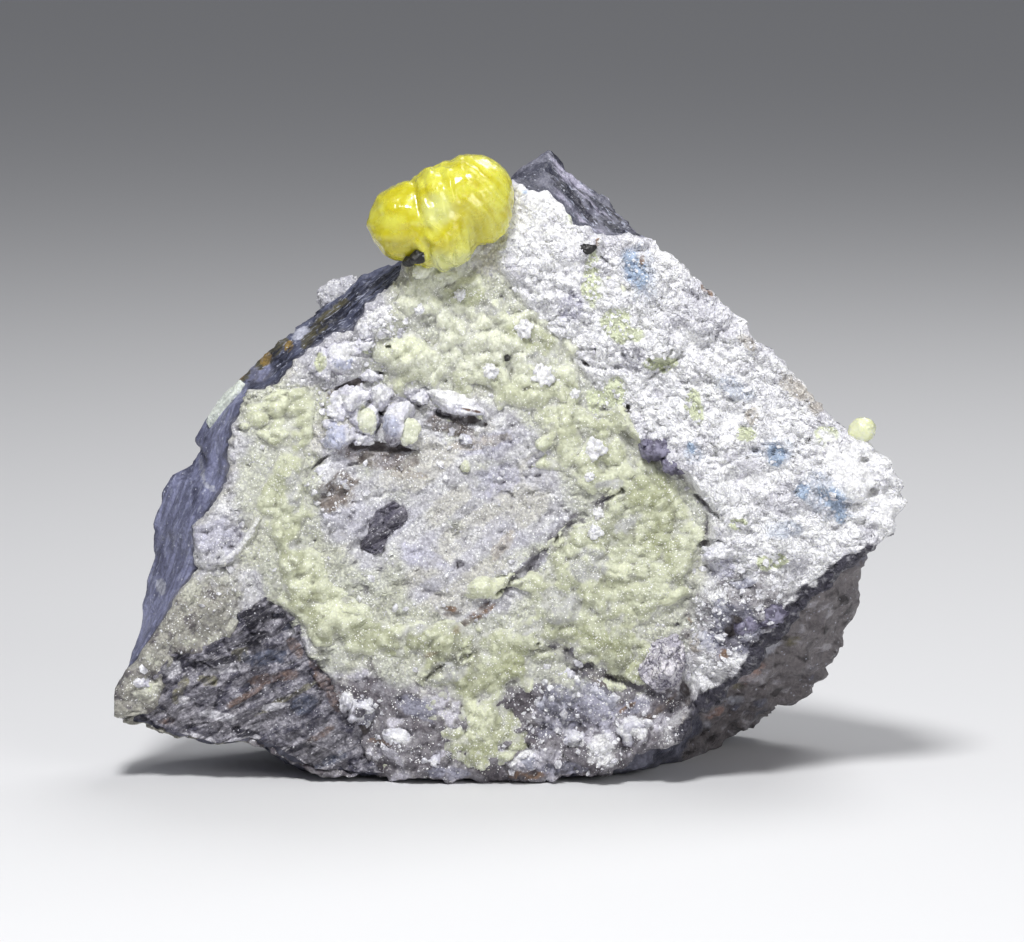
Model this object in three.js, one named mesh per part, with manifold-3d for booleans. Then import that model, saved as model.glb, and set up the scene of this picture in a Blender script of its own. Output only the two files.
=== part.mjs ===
// A cabinet mineral specimen: a yellow brucite nodule on a broken block of dark serpentinite.
// A white granular crust coats the front of the block, and a pale yellow-green druse lies in its hollows.
// Millimetres. +X is to the right seen from the front, +Y runs from the front to the back, +Z is up.
// The origin is under the middle of the specimen, on the surface that it stands on.
import * as THREE from "three";
import { mergeVertices } from "three/addons/utils/BufferGeometryUtils.js";
import Module from "manifold-3d";

// Driving dimensions
const hubX = 0; // the front face is swept round this point
const hubZ = 42;
const faceY = -18; // front of the dark rock at the base
const faceLean = 0.08; // the front face leans back by this much per mm of height
const crustThickness = 1.7;
const ridgeThickness = 2.4; // how far the white right-hand field stands over the rest of the crust
const druseThickness = 1.5;
const clearance = 0.35; // gap kept between two grown pieces

// Edge of the front face, counter-clockwise seen from the front: [x, z]
const rimOutline = [
  [55, 39.7], [54, 42], [52.5, 45.2], [47.2, 48.6], [43.7, 51.8], [38.1, 57.6], [33.3, 63],
  [27.4, 68.5], [23.5, 71.8], [20, 75.1], [17.4, 75.9], [11.3, 75.8], [9.2, 78], [7.2, 80.6],
  [5.2, 82.6], [0.1, 83.5], [-5, 80], [-9.9, 76], [-14.3, 71.6], [-17.8, 67.7], [-20.3, 66.4],
  [-22.1, 62.9], [-25.8, 61.7], [-28.6, 59.5], [-32.2, 55.6], [-35.6, 54.2], [-37.7, 51.6],
  [-39.7, 47.6], [-38.7, 42], [-42.5, 37.4], [-44, 34.9], [-43.8, 29.8], [-48.2, 23.2], [-51.6, 18.4],
  [-56.2, 11.2], [-55.8, 9.4], [-46.1, 6], [-41.2, 4.9], [-37, 5.7], [-33.5, 4.6], [-30.2, 2.6],
  [-27.7, 1.3], [-15.5, 0.6], [-0.8, 0.3], [6.8, 0.6], [12.4, 1.1], [16.8, 2.6], [24.9, 8.2],
  [32.6, 15.6], [37.2, 20.5], [42.3, 26.4], [47.9, 31.3], [53.2, 35.4],
];
// Widest outline of the block, a little way behind the front face: [x, z, y]. The rear slab is at lower right.
const bellyOutline = [
  [51, 37, -4], [46.5, 42.5, -3], [38.5, 50, -2], [29, 60, -1], [20.5, 69.5, -2], [15.9, 76.8, -3],
  [10.3, 82.4, -3], [7.1, 85.2, -2], [5.3, 86.4, -2], [2.6, 84.8, -3], [-0.4, 82.4, -4],
  [-9.9, 75.2, -4], [-16.8, 70.6, -4], [-25.2, 65.6, -4], [-33.5, 59.6, -4], [-37.7, 55.5, -4],
  [-41.2, 51.4, -5], [-46.4, 44.4, -6], [-48.4, 39.8, -6], [-49.8, 34.8, -6], [-50.5, 29.8, -7],
  [-51.8, 22.3, -8], [-53, 17, -10], [-54.8, 11, -12], [-52, 8, -9], [-46, 5, -5], [-40, 3.4, -2],
  [-34, 2.4, -5], [-29, 0, -10], [-15, 0, -14], [0, 0, -15], [14, 0, -13], [24, 0, -4], [29.4, 0, 6],
  [35.4, 2.4, 10], [43.4, 7.6, 10], [48.4, 14.2, 10], [48.2, 17.2, 10], [50, 20.4, 9], [49.6, 25, 8],
  [50.6, 29, 5], [52, 33, 0],
];
// Rim of the broken back face: [x, z, y]
const backOutline = [
  [40, 33, 12], [35, 44, 11], [24, 57, 8], [14, 69, 5], [7, 76, 3], [3, 76.5, 2], [-8, 69, 3],
  [-19, 60, 5], [-31, 49, 7], [-39, 38, 8], [-43, 26, 9], [-43, 14, 9], [-36, 6, 12], [-27, 0, 16],
  [-10, 0, 23], [12, 0, 25], [27, 0, 23], [37, 3, 20], [42, 12, 18], [43, 22, 15],
];
const backBulgeY = 21; // middle of the back face
const backLean = 0.25; // the back face comes forward by this much per mm of height

// Planes that the sides and back are broken along: the rock beyond the distance along the normal is gone
const fractures = [
  { normal: [-0.6, 0.75, 0.25], distance: 35.2 },
  { normal: [-0.3, 0.85, 0.43], distance: 34.2 },
  { normal: [0.35, 0.9, 0.25], distance: 30.6 },
  { normal: [0.3, 0.85, 0.42], distance: 36.6 },
  { normal: [0.1, 0.93, 0.36], distance: 30.4 },
  { normal: [-0.2, 0.97, 0.1], distance: 22.4 },
  { normal: [0.55, 0.8, -0.2], distance: 32 },
  { normal: [-0.45, 0.86, -0.25], distance: 20.5 },
  { normal: [-0.6, 0.5, -0.6], distance: 22.6 },
];

// Where the front edge of the block is cut away under the crust, seen as a dark seam: angles in degrees
const seam = { from: -62, to: -4, depth: 2.6, back: 4.2 };

// Left edge of the raised white field: x at each height z
const ridgeEdge = {
  z: [0, 8, 14, 22, 31, 37, 43.5, 46, 50, 55.5, 64, 73, 84],
  x: [18, 21, 25, 27, 26.5, 28.5, 24, 19, 15, 12, 5, -1.5, 0],
};

// Openings where the crust is missing and the dark rock shows
const windows = [
  { x: -34.5, z: 14, rx: 11.5, rz: 6.6, turn: 24 },
  { x: -31.5, z: 19.5, rx: 4.8, rz: 4.6, turn: 40 },
  { x: -17.6, z: 36.3, rx: 2.7, rz: 4.1, turn: -32 },
];

// Patches of pale druse, linked into one sheet
const drusePatches = [
  { x: -11.3, z: 69, rx: 6.5, rz: 5, turn: 20 },
  { x: -5.5, z: 63.5, rx: 9, rz: 7.5, turn: 0 },
  { x: 1.5, z: 60.5, rx: 8, rz: 8, turn: 0 },
  { x: 6.5, z: 53.5, rx: 7, rz: 8, turn: 30 },
  { x: 12, z: 47.5, rx: 6.5, rz: 7, turn: 40 },
  { x: 18, z: 40.5, rx: 8, rz: 6.5, turn: -30 },
  { x: 19, z: 34, rx: 8.5, rz: 8, turn: 0 },
  { x: 11, z: 31, rx: 8.5, rz: 6, turn: 20 },
  { x: 18.5, z: 25, rx: 9, rz: 8, turn: 0 },
  { x: 7, z: 22.5, rx: 10.5, rz: 7, turn: 10 },
  { x: 14.5, z: 16.5, rx: 8, rz: 6, turn: 20 },
  { x: -3.5, z: 18.5, rx: 8, rz: 5, turn: 20 },
  { x: -4, z: 11.5, rx: 8.5, rz: 5.5, turn: 0 },
  { x: -5, z: 4.6, rx: 5, rz: 5, turn: 0 },
  { x: -15.5, z: 19.5, rx: 9.5, rz: 4.2, turn: 10 },
  { x: -23, z: 23, rx: 7, rz: 6, turn: 0 },
  { x: -29, z: 28.5, rx: 6.5, rz: 7, turn: 0 },
  { x: -31, z: 36.5, rx: 4, rz: 8, turn: 0 },
  { x: -32, z: 45, rx: 5.5, rz: 7, turn: 0 },
  { x: -31.5, z: 52.3, rx: 7.6, rz: 4, turn: 20 },
  { x: -14.5, z: 59.5, rx: 7, rz: 4.5, turn: 0 },
];

// Lumps that stand out of the crust: place on the face, half sizes across, up and out, and turn in degrees
const crustLumps = [
  { x: -23.8, z: 59.3, rx: 3.3, rz: 2.9, out: 2.6, turn: 10 },
  { x: -18.6, z: 63.3, rx: 3.4, rz: 3, out: 2.4, turn: 30 },
  { x: -22.6, z: 52, rx: 4.2, rz: 4, out: 3.4, turn: 0 },
  { x: -15.2, z: 50.2, rx: 4, rz: 2.6, out: 3.8, turn: 42 },
  { x: -8, z: 53.4, rx: 4.6, rz: 2.1, out: 4, turn: -22 },
  { x: -24.8, z: 38, rx: 2.3, rz: 2.4, out: 2.2, turn: 0 },
  { x: -26.3, z: 42.6, rx: 3.4, rz: 2.2, out: 2, turn: 20 },
  { x: 20.4, z: 60.6, rx: 4.8, rz: 2.6, out: 2.2, turn: -12 },
  { x: 27, z: 63.5, rx: 6, rz: 3.2, out: 1.6, turn: -40 },
  { x: 36, z: 33.2, rx: 6, rz: 3, out: 2, turn: -8 },
  { x: 33, z: 25.6, rx: 5.2, rz: 3.6, out: 2.6, turn: 36 },
  { x: 46, z: 42.8, rx: 4.2, rz: 3, out: 2.2, turn: -30 },
  { x: 12.2, z: 4, rx: 4.4, rz: 3, out: 2.4, turn: 0 },
  { x: 4.6, z: 5.4, rx: 4.2, rz: 2.8, out: 2, turn: 20 },
  { x: -16.4, z: 6, rx: 3.4, rz: 2.4, out: 2, turn: 0 },
  { x: 4.2, z: 14, rx: 3.6, rz: 3, out: 2.6, turn: 60 },
];

// Broken chip of rock cemented onto the crust
const chip = { x: 21.3, z: 16.4, rx: 4.4, rz: 4, out: 4.2, turn: 20 };
// Pieces on the rock's upper left edge, behind the front face: a granular lump and a thin flake
const edgeLump = { x: -23.4, y: 0.5, z: 65, rx: 3.4, rz: 3.2, out: 3, turn: 15 };
const edgeFlake = { x: -39.8, y: -6.5, z: 51.4, rx: 4.4, rz: 1.4, out: 2.4, turn: 52 };

// The yellow nodule: round lobes about its middle, in mm
const nodule = {
  x: -9.6, y: -15.5, z: 79,
  lobes: [
    { at: [4.1, 0.4, 2.5], radius: 6.1 },
    { at: [-4.9, 0, -1], radius: 5.6 },
    { at: [-2.5, -0.4, 0.7], radius: 4.7 },
    { at: [-0.2, -1.4, -2.3], radius: 5.2 },
    { at: [0.4, -1.2, 2], radius: 5.2 },
    { at: [6, -0.6, -0.5], radius: 3.4 },
  ],
};
// The pale bead on the right-hand end of the crust
const bead = {
  x: 48.9, y: -15.6, z: 49.2,
  lobes: [
    { at: [0, 0, 0], radius: 1.7 },
    { at: [-0.8, 0, -0.6], radius: 1.3 },
  ],
};
const lobeSharpness = 2.2; // higher joins the lobes along a sharper crease

// Facets along each piece
const rockCells = 20;
const crustCells = 21;
const druseCells = 18;
const druseInset = 0.985; // the druse stops short of the rim
const noduleDetail = 5;
const beadDetail = 2;

const radians = THREE.MathUtils.degToRad;
const smooth = (t) => THREE.MathUtils.smoothstep(t, 0, 1);
const fract = (v) => v - Math.floor(v);

// Repeatable random number in 0..1 for a lattice point
const lattice = (i, j, k) => fract(Math.sin(i * 127.1 + j * 311.7 + k * 74.7) * 43758.5453);

// Smooth value noise in -1..1 with one lattice cell per unit
function noise(x, y, z) {
  const [i, j, k] = [Math.floor(x), Math.floor(y), Math.floor(z)];
  const [u, v, w] = [smooth(x - i), smooth(y - j), smooth(z - k)];
  let sum = 0;
  for (let corner = 0; corner < 8; corner++) {
    const [a, b, c] = [corner & 1, (corner >> 1) & 1, corner >> 2];
    const weight = (a ? u : 1 - u) * (b ? v : 1 - v) * (c ? w : 1 - w);
    sum += weight * lattice(i + a, j + b, k + c);
  }
  return 2 * sum - 1;
}

// Squared distance from an ellipse's middle, 1 on its edge
function ellipse(x, z, patch) {
  const [c, s] = [Math.cos(radians(patch.turn)), Math.sin(radians(patch.turn))];
  const [dx, dz] = [x - patch.x, z - patch.z];
  return ((dx * c + dz * s) / patch.rx) ** 2 + ((dz * c - dx * s) / patch.rz) ** 2;
}

// Point of a star-shaped outline on the ray at an angle from the hub: { x, z, y }
function outlineAt(outline, angle) {
  const [dx, dz] = [Math.cos(angle), Math.sin(angle)];
  for (let i = 0; i < outline.length; i++) {
    const a = outline[i];
    const b = outline[(i + 1) % outline.length];
    const [ax, az, bx, bz] = [a[0] - hubX, a[1] - hubZ, b[0] - hubX, b[1] - hubZ];
    const facing = dx * (bz - az) - dz * (bx - ax);
    const reach = (ax * bz - az * bx) / facing;
    const along = (dz * ax - dx * az) / facing;
    if (facing > 0 && reach > 0 && along >= -1e-9 && along <= 1 + 1e-9) {
      const y = a.length > 2 ? a[2] + (b[2] - a[2]) * along : 0;
      return { x: hubX + reach * dx, z: hubZ + reach * dz, y };
    }
  }
  throw new Error("the outline isn't star-shaped about the hub");
}

// Left edge of the white field at a height
function ridgeEdgeAt(z) {
  const heights = ridgeEdge.z;
  const i = Math.min(Math.max(heights.findIndex((h) => h > z) - 1, 0), heights.length - 2);
  const t = THREE.MathUtils.clamp((z - heights[i]) / (heights[i + 1] - heights[i]), 0, 1);
  return ridgeEdge.x[i] + (ridgeEdge.x[i + 1] - ridgeEdge.x[i]) * t;
}

// Front of the dark rock
function rockFrontY(x, z) {
  return faceY + faceLean * z + 0.9 * noise(x / 17, 3, z / 17);
}

// How far the crust stands out of the rock; below zero in the windows
function crustDepth(x, z) {
  const wander = 1.6 * noise(x / 6, 11, z / 6);
  const field = smooth((x - ridgeEdgeAt(z) + wander) / 2.4 + 0.5);
  const steep = 0.35 + 0.65 * smooth((56 - z) / 10);
  let depth = crustThickness + ridgeThickness * field * steep;
  depth += 0.6 * noise(x / 7, 5, z / 7) + 0.45 * noise(x / 3.4, 8, z / 3.4);
  for (const hole of windows) {
    depth -= 5 * smooth((1.25 - ellipse(x, z, hole)) / 0.5);
  }
  return depth;
}

const crustFrontY = (x, z) => rockFrontY(x, z) - crustDepth(x, z);

// How far the druse stands out of the crust; below zero outside its patches
function druseDepth(x, z) {
  let strength = 0;
  for (const patch of drusePatches) {
    strength += Math.exp(-1.6 * ellipse(x, z, patch));
  }
  const cover = smooth((strength - 0.18) / 0.5);
  return (druseThickness + 0.8) * cover - 0.8 + 0.25 * noise(x / 3, 21, z / 3) * cover;
}

// Grid of cells x cells squares bent onto the disc inside the rim (concentric map): rows of { angle, reach }
function discGrid(cells) {
  const rows = [];
  for (let j = 0; j <= cells; j++) {
    for (let i = 0; i <= cells; i++) {
      const [a, b] = [(2 * i) / cells - 1, (2 * j) / cells - 1];
      const wide = Math.abs(a) > Math.abs(b);
      const reach = wide ? a : b;
      let angle = 0;
      if (wide) angle = (Math.PI / 4) * (b / a);
      else if (reach !== 0) angle = Math.PI / 2 - (Math.PI / 4) * (a / b);
      rows.push({ angle: reach < 0 ? angle + Math.PI : angle, reach: Math.abs(reach) });
    }
  }
  return rows;
}

// Indices of the grid points round the edge of a disc grid, counter-clockwise
function discEdge(cells) {
  const at = (i, j) => j * (cells + 1) + i;
  const edge = [];
  for (let i = 0; i < cells; i++) edge.push(at(cells, i));
  for (let i = 0; i < cells; i++) edge.push(at(cells - i, cells));
  for (let i = 0; i < cells; i++) edge.push(at(0, cells - i));
  for (let i = 0; i < cells; i++) edge.push(at(i, 0));
  return edge;
}

// Closed surface: a front sheet and a back sheet on disc grids, with rings of points between their edges
function capsule(cells, frontPoint, backPoint, ringPoints) {
  const grid = discGrid(cells);
  const edge = discEdge(cells);
  const points = [...grid.map(frontPoint), ...grid.map(backPoint)];
  const rings = [edge];
  for (const ringPoint of ringPoints) {
    rings.push(edge.map((e) => points.push(ringPoint(grid[e])) - 1));
  }
  rings.push(edge.map((e) => e + grid.length));
  const faces = [];
  for (let j = 0; j < cells; j++) {
    for (let i = 0; i < cells; i++) {
      const [p, q] = [j * (cells + 1) + i, (j + 1) * (cells + 1) + i];
      const square = [p, p + 1, q + 1, p, q + 1, q];
      faces.push(...square, ...square.map((v) => v + grid.length).reverse());
    }
  }
  for (let r = 0; r + 1 < rings.length; r++) {
    const [near, far] = [rings[r], rings[r + 1]];
    for (let i = 0; i < edge.length; i++) {
      const n = (i + 1) % edge.length;
      faces.push(near[i], far[i], far[n], near[i], far[n], near[n]);
    }
  }
  return new THREE.BufferGeometry().setFromPoints(points).setIndex(faces);
}

// Point part of the way from a to b
const between = (a, b, t) => ({
  x: a.x + (b.x - a.x) * t,
  y: a.y + (b.y - a.y) * t,
  z: a.z + (b.z - a.z) * t,
});

// Edge of the rock's front face at an angle
function rimAt(angle) {
  const rim = outlineAt(rimOutline, angle);
  return { ...rim, y: rockFrontY(rim.x, rim.z) };
}

// Just behind the front edge: cut inwards along the seam, on the way to the widest outline elsewhere
function seamAt(angle) {
  const turned = THREE.MathUtils.euclideanModulo(angle + Math.PI, 2 * Math.PI) - Math.PI;
  const degrees = THREE.MathUtils.radToDeg(turned);
  const inside = smooth((degrees - seam.from) / 10) * smooth((seam.to - degrees) / 10);
  const edge = between(rimAt(angle), outlineAt(bellyOutline, angle), 0.22 * (1 - inside));
  return {
    x: edge.x - seam.depth * inside * Math.cos(angle),
    y: edge.y + seam.back * inside,
    z: edge.z - seam.depth * inside * Math.sin(angle),
  };
}

// Dark rock under the crust, grown outwards by a distance to cut what lies against it
function rockGeometry(cells, grow) {
  const grown = (point, g) => {
    const out = g.reach > 0.999 ? grow : 0;
    return point.add(new THREE.Vector3(Math.cos(g.angle) * out, 0, Math.sin(g.angle) * out));
  };
  const scaled = (at, reach) => [hubX + (at.x - hubX) * reach, hubZ + (at.z - hubZ) * reach];
  const front = (g) => {
    const [x, z] = scaled(outlineAt(rimOutline, g.angle), g.reach);
    return grown(new THREE.Vector3(x, rockFrontY(x, z) - grow, z), g);
  };
  const back = (g) => {
    const rim = outlineAt(backOutline, g.angle);
    const [x, z] = scaled(rim, g.reach);
    const y = backBulgeY - backLean * (z - hubZ) * (1 - g.reach) + (rim.y - backBulgeY) * g.reach ** 1.5;
    return grown(weathered(new THREE.Vector3(x, y, z)), g);
  };
  const belly = (angle) => outlineAt(bellyOutline, angle);
  const backRim = (angle) => outlineAt(backOutline, angle);
  const ring = (from, to, t) => (g) => {
    const at = between(from(g.angle), to(g.angle), t);
    return grown(weathered(new THREE.Vector3(at.x, at.y, at.z)), g);
  };
  const rings = [
    ring(seamAt, belly, 0),
    ring(seamAt, belly, 0.5),
    ring(belly, backRim, 0),
    ring(belly, backRim, 0.25),
    ring(belly, backRim, 0.5),
    ring(belly, backRim, 0.75),
  ];
  return capsule(cells, front, back, rings);
}

// A point of the rock's sides and back, cut by the fracture planes, roughened, and kept above the ground
function weathered(point) {
  for (const plane of fractures) {
    const normal = new THREE.Vector3(...plane.normal).normalize();
    const over = normal.dot(point) - plane.distance;
    if (over > 0) point.addScaledVector(normal, -over);
  }
  const { x, y, z } = point;
  const rough = 0.6 * noise(x / 11, y / 11, z / 11) + 0.4 * noise(x / 5, y / 5, z / 5);
  const behind = smooth((y - rockFrontY(x, z)) / 7);
  const above = smooth(z / 6);
  const outward = new THREE.Vector3(x - hubX, 0.6 * (y - 4), z - hubZ).normalize();
  point.addScaledVector(outward, rough * behind * above);
  point.z = Math.max(point.z, 0);
  return point;
}

// Sheet over the front of the rock: its face stands depth(x, z) out of it, and its back runs into it
function sheetGeometry(cells, depth, inset, grow) {
  const at = (g) => {
    const rim = outlineAt(rimOutline, g.angle);
    const out = g.reach > 0.999 ? grow : 0;
    const [dx, dz] = [Math.cos(g.angle) * out, Math.sin(g.angle) * out];
    return [hubX + (rim.x - hubX) * inset * g.reach + dx, hubZ + (rim.z - hubZ) * inset * g.reach + dz];
  };
  const front = (g) => {
    const [x, z] = at(g);
    return new THREE.Vector3(x, rockFrontY(x, z) - depth(x, z) - grow, z);
  };
  const back = (g) => {
    const [x, z] = at(g);
    return new THREE.Vector3(x, rockFrontY(x, z) + 0.6 + 3 * (1 - g.reach ** 4), z);
  };
  return capsule(cells, front, back, []);
}

// Rough lump, an ellipsoid dented by noise, on the face of the crust unless it has a depth of its own
function lumpGeometry(lump, grow) {
  const geometry = new THREE.IcosahedronGeometry(1, 1);
  const position = geometry.attributes.position;
  const turn = radians(lump.turn);
  const base = lump.y ?? crustFrontY(lump.x, lump.z) + 0.25 * lump.out;
  for (let i = 0; i < position.count; i++) {
    const p = new THREE.Vector3().fromBufferAttribute(position, i);
    const swell = 1 + 0.22 * noise(2 * p.x + lump.x, 2 * p.y, 2 * p.z + lump.z);
    const [x, z] = [p.x * (lump.rx * swell + grow), p.z * (lump.rz * swell + grow)];
    position.setXYZ(
      i,
      lump.x + x * Math.cos(turn) - z * Math.sin(turn),
      base + p.y * (lump.out * swell + grow),
      lump.z + x * Math.sin(turn) + z * Math.cos(turn),
    );
  }
  return geometry;
}

// Group of round lobes grown together: the furthest lobe along each ray from the middle, softly joined
function lobedGeometry(detail, centre, lobes) {
  const geometry = new THREE.IcosahedronGeometry(1, detail);
  const position = geometry.attributes.position;
  for (let i = 0; i < position.count; i++) {
    const ray = new THREE.Vector3().fromBufferAttribute(position, i).normalize();
    let sum = 0;
    for (const lobe of lobes) {
      const middle = new THREE.Vector3(...lobe.at);
      const along = ray.dot(middle);
      const inside = along ** 2 - middle.lengthSq() + lobe.radius ** 2;
      if (inside > 0) sum += Math.exp(lobeSharpness * (along + Math.sqrt(inside)));
    }
    const reach = Math.log(sum) / lobeSharpness;
    position.setXYZ(i, centre.x + ray.x * reach, centre.y + ray.y * reach, centre.z + ray.z * reach);
  }
  return geometry;
}

const wasm = await Module();
wasm.setup();

// Closed geometry as a solid that can be joined and cut
function solidOf(geometry) {
  const bare = new THREE.BufferGeometry().setAttribute("position", geometry.attributes.position);
  bare.setIndex(geometry.index);
  const merged = mergeVertices(bare, 1e-4);
  const vertProperties = merged.attributes.position.array;
  const triVerts = new Uint32Array(merged.index.array);
  return new wasm.Manifold(new wasm.Mesh({ numProp: 3, vertProperties, triVerts }));
}

// The solid's largest body as a geometry
function geometryOf(solid) {
  const bodies = solid.decompose();
  const mesh = bodies.reduce((a, b) => (a.volume() > b.volume() ? a : b)).getMesh();
  const geometry = new THREE.BufferGeometry();
  geometry.setAttribute("position", new THREE.BufferAttribute(mesh.vertProperties, 3));
  geometry.setIndex(new THREE.BufferAttribute(mesh.triVerts, 1));
  return geometry;
}

// The rock, the crust with its lumps, and the druse, each grown outwards by a distance
const rockSolid = (grow) => solidOf(rockGeometry(rockCells, grow));
const crustSolid = (grow) =>
  crustLumps.reduce(
    (body, lump) => body.add(solidOf(lumpGeometry(lump, grow))),
    solidOf(sheetGeometry(crustCells, crustDepth, 1, grow)),
  );
const druseSolid = (grow) =>
  solidOf(sheetGeometry(druseCells, (x, z) => crustDepth(x, z) + druseDepth(x, z), druseInset, grow));

// Colours and finish of each piece
const finishes = {
  serpentinite: { color: 0x5a5c6c, roughness: 0.55, metalness: 0 },
  granular: { color: 0xd6d4d2, roughness: 0.8, metalness: 0 },
  druse: { color: 0xd4d8a4, roughness: 0.45, metalness: 0 },
  brucite: { color: 0xe0d534, roughness: 0.3, metalness: 0 },
  bead: { color: 0xdfe6b0, roughness: 0.4, metalness: 0 },
  chip: { color: 0xa5a2a6, roughness: 0.8, metalness: 0 },
};

const specimen = new THREE.Group();
function add(name, finish, geometry) {
  const mesh = new THREE.Mesh(geometry, new THREE.MeshStandardMaterial(finishes[finish]));
  mesh.name = name;
  specimen.add(mesh);
}

add("matrix_rock", "serpentinite", rockGeometry(rockCells, 0));

// Each piece is cut by what it grew on, with the clearance between them
const grownRock = rockSolid(clearance);
const grownCrust = crustSolid(clearance);
const grownDruse = druseSolid(clearance);
add("granular_crust", "granular", geometryOf(crustSolid(0).subtract(grownRock)));
add("druse_crust", "druse", geometryOf(druseSolid(0).subtract(grownRock).subtract(grownCrust)));

const seated = (geometry) =>
  geometryOf(solidOf(geometry).subtract(grownRock).subtract(grownCrust).subtract(grownDruse));
add("cemented_chip", "chip", seated(lumpGeometry(chip, 0)));
add("edge_lump", "granular", seated(lumpGeometry(edgeLump, 0)));
add("edge_flake", "druse", seated(lumpGeometry(edgeFlake, 0)));
add("brucite_nodule", "brucite", seated(lobedGeometry(noduleDetail, nodule, nodule.lobes)));
add("brucite_bead", "bead", seated(lobedGeometry(beadDetail, bead, bead.lobes)));

export default specimen;
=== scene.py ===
# Cabinet specimen: a yellow brucite nodule on dark serpentinite, with a white crust and a pale green druse.
# Shapes are worked out in mm, x to the right, y to the back, z up, and written to the meshes in metres.
import math
import bpy
import numpy as np
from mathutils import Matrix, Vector


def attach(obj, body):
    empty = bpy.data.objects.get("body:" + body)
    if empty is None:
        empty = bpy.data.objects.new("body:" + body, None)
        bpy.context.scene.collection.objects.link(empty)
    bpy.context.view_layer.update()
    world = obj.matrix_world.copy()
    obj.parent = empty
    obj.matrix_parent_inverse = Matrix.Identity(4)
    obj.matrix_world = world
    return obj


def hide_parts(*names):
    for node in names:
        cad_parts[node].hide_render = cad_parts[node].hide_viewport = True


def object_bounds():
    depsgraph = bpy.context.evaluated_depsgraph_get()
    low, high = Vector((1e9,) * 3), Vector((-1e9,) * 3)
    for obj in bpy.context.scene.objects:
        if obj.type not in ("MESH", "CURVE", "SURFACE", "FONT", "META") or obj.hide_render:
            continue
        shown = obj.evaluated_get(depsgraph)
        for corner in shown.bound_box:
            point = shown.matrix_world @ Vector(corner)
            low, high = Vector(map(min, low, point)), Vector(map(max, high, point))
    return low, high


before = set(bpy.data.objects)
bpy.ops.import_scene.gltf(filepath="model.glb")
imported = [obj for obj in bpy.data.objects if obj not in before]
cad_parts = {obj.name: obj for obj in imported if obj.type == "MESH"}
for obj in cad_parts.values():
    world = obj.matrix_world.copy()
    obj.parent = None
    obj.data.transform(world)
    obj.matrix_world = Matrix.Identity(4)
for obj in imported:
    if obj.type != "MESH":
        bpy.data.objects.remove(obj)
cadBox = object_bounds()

mm = 0.001
boxLow = np.array(cadBox[0]) / mm
boxHigh = np.array(cadBox[1]) / mm
print("frame: box", np.round(boxLow, 1), np.round(boxHigh, 1), "mm")


# t * t * (3 - 2 t) between 0 and 1
def smooth(t):
    t = np.clip(t, 0, 1)
    return t * t * (3 - 2 * t)


# repeatable random number in 0..1 for a lattice point: the fraction of a large sine
def lattice(i, j, k):
    v = np.sin(i * 127.1 + j * 311.7 + k * 74.7) * 43758.5453
    return v - np.floor(v)


# value noise in -1..1: the eight corners of the cell blended by smooth steps
def noise(x, y, z):
    x, y, z = np.broadcast_arrays(*[np.asarray(v, float) for v in (x, y, z)])
    i, j, k = np.floor(x), np.floor(y), np.floor(z)
    u, v, w = smooth(x - i), smooth(y - j), smooth(z - k)
    total = np.zeros(x.shape)
    for corner in range(8):
        a, b, c = corner & 1, corner >> 1 & 1, corner >> 2
        weight = (u if a else 1 - u) * (v if b else 1 - v) * (w if c else 1 - w)
        total += weight * lattice(i + a, j + b, k + c)
    return 2 * total - 1


# octaves of noise, each twice as fine and half as strong
def fractal(x, y, z, octaves=3):
    return sum(noise(x * 2**n, y * 2**n + 9 * n, z * 2**n) / 2**n for n in range(octaves))


# cellular noise over a plane: distances to the nearest and second seed, the offset from the nearest, and
# two random numbers of its cell
def seeds(x, z, layer):
    i, k = np.floor(x), np.floor(z)
    near, second = np.full(x.shape, 9.0), np.full(x.shape, 9.0)
    dx, dz, one, two = (np.zeros(x.shape) for _ in range(4))
    for a in (-1, 0, 1):
        for c in (-1, 0, 1):
            px = i + a + lattice(i + a, layer, k + c)
            pz = k + c + lattice(i + a, layer + 17, k + c)
            far = np.hypot(x - px, z - pz)
            closer = far < near
            second = np.where(closer, near, np.minimum(second, far))
            near = np.where(closer, far, near)
            dx, dz = np.where(closer, x - px, dx), np.where(closer, z - pz, dz)
            one = np.where(closer, lattice(i + a, layer + 31, k + c), one)
            two = np.where(closer, lattice(i + a, layer + 53, k + c), two)
    return near, second, dx, dz, one, two


# broken facets over a plane: each cell is a flat tilted at random about its seed, at a random height
def facets(x, z, layer):
    near, second, dx, dz, one, two = seeds(x, z, layer)
    return (2 * one - 1) * dx + (2 * two - 1) * dz + 0.6 * (one + two - 1)


# rounded grains over a plane: 1 on each seed, falling with the square of the distance to 0 between seeds
def grains(x, z, layer):
    near, second, dx, dz, one, two = seeds(x, z, layer)
    return np.clip(1 - near**2 * 1.6, 0, 1) * (0.55 + 0.45 * one)


# cellular noise in space: tilted flats, and rounded bumps, about the nearest seed
def cells3(x, y, z, layer):
    i, j, k = np.floor(x), np.floor(y), np.floor(z)
    near = np.full(x.shape, 9.0)
    flat = np.zeros(x.shape)
    for a in (-1, 0, 1):
        for b in (-1, 0, 1):
            for c in (-1, 0, 1):
                p, q, r = i + a, j + b + layer, k + c
                one, two, three = lattice(p, q, r), lattice(p + 5, q, r), lattice(p, q + 5, r)
                dx, dy, dz = x - p - one, y - (j + b) - two, z - r - three
                far = dx**2 + dy**2 + dz**2
                tilt = (2 * two - 1) * dx + (2 * three - 1) * dy + (2 * one - 1) * dz + 0.5 * (one + two - 1)
                closer = far < near
                near, flat = np.where(closer, far, near), np.where(closer, tilt, flat)
    return flat, np.clip(1 - 1.6 * near, 0, 1)


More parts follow.
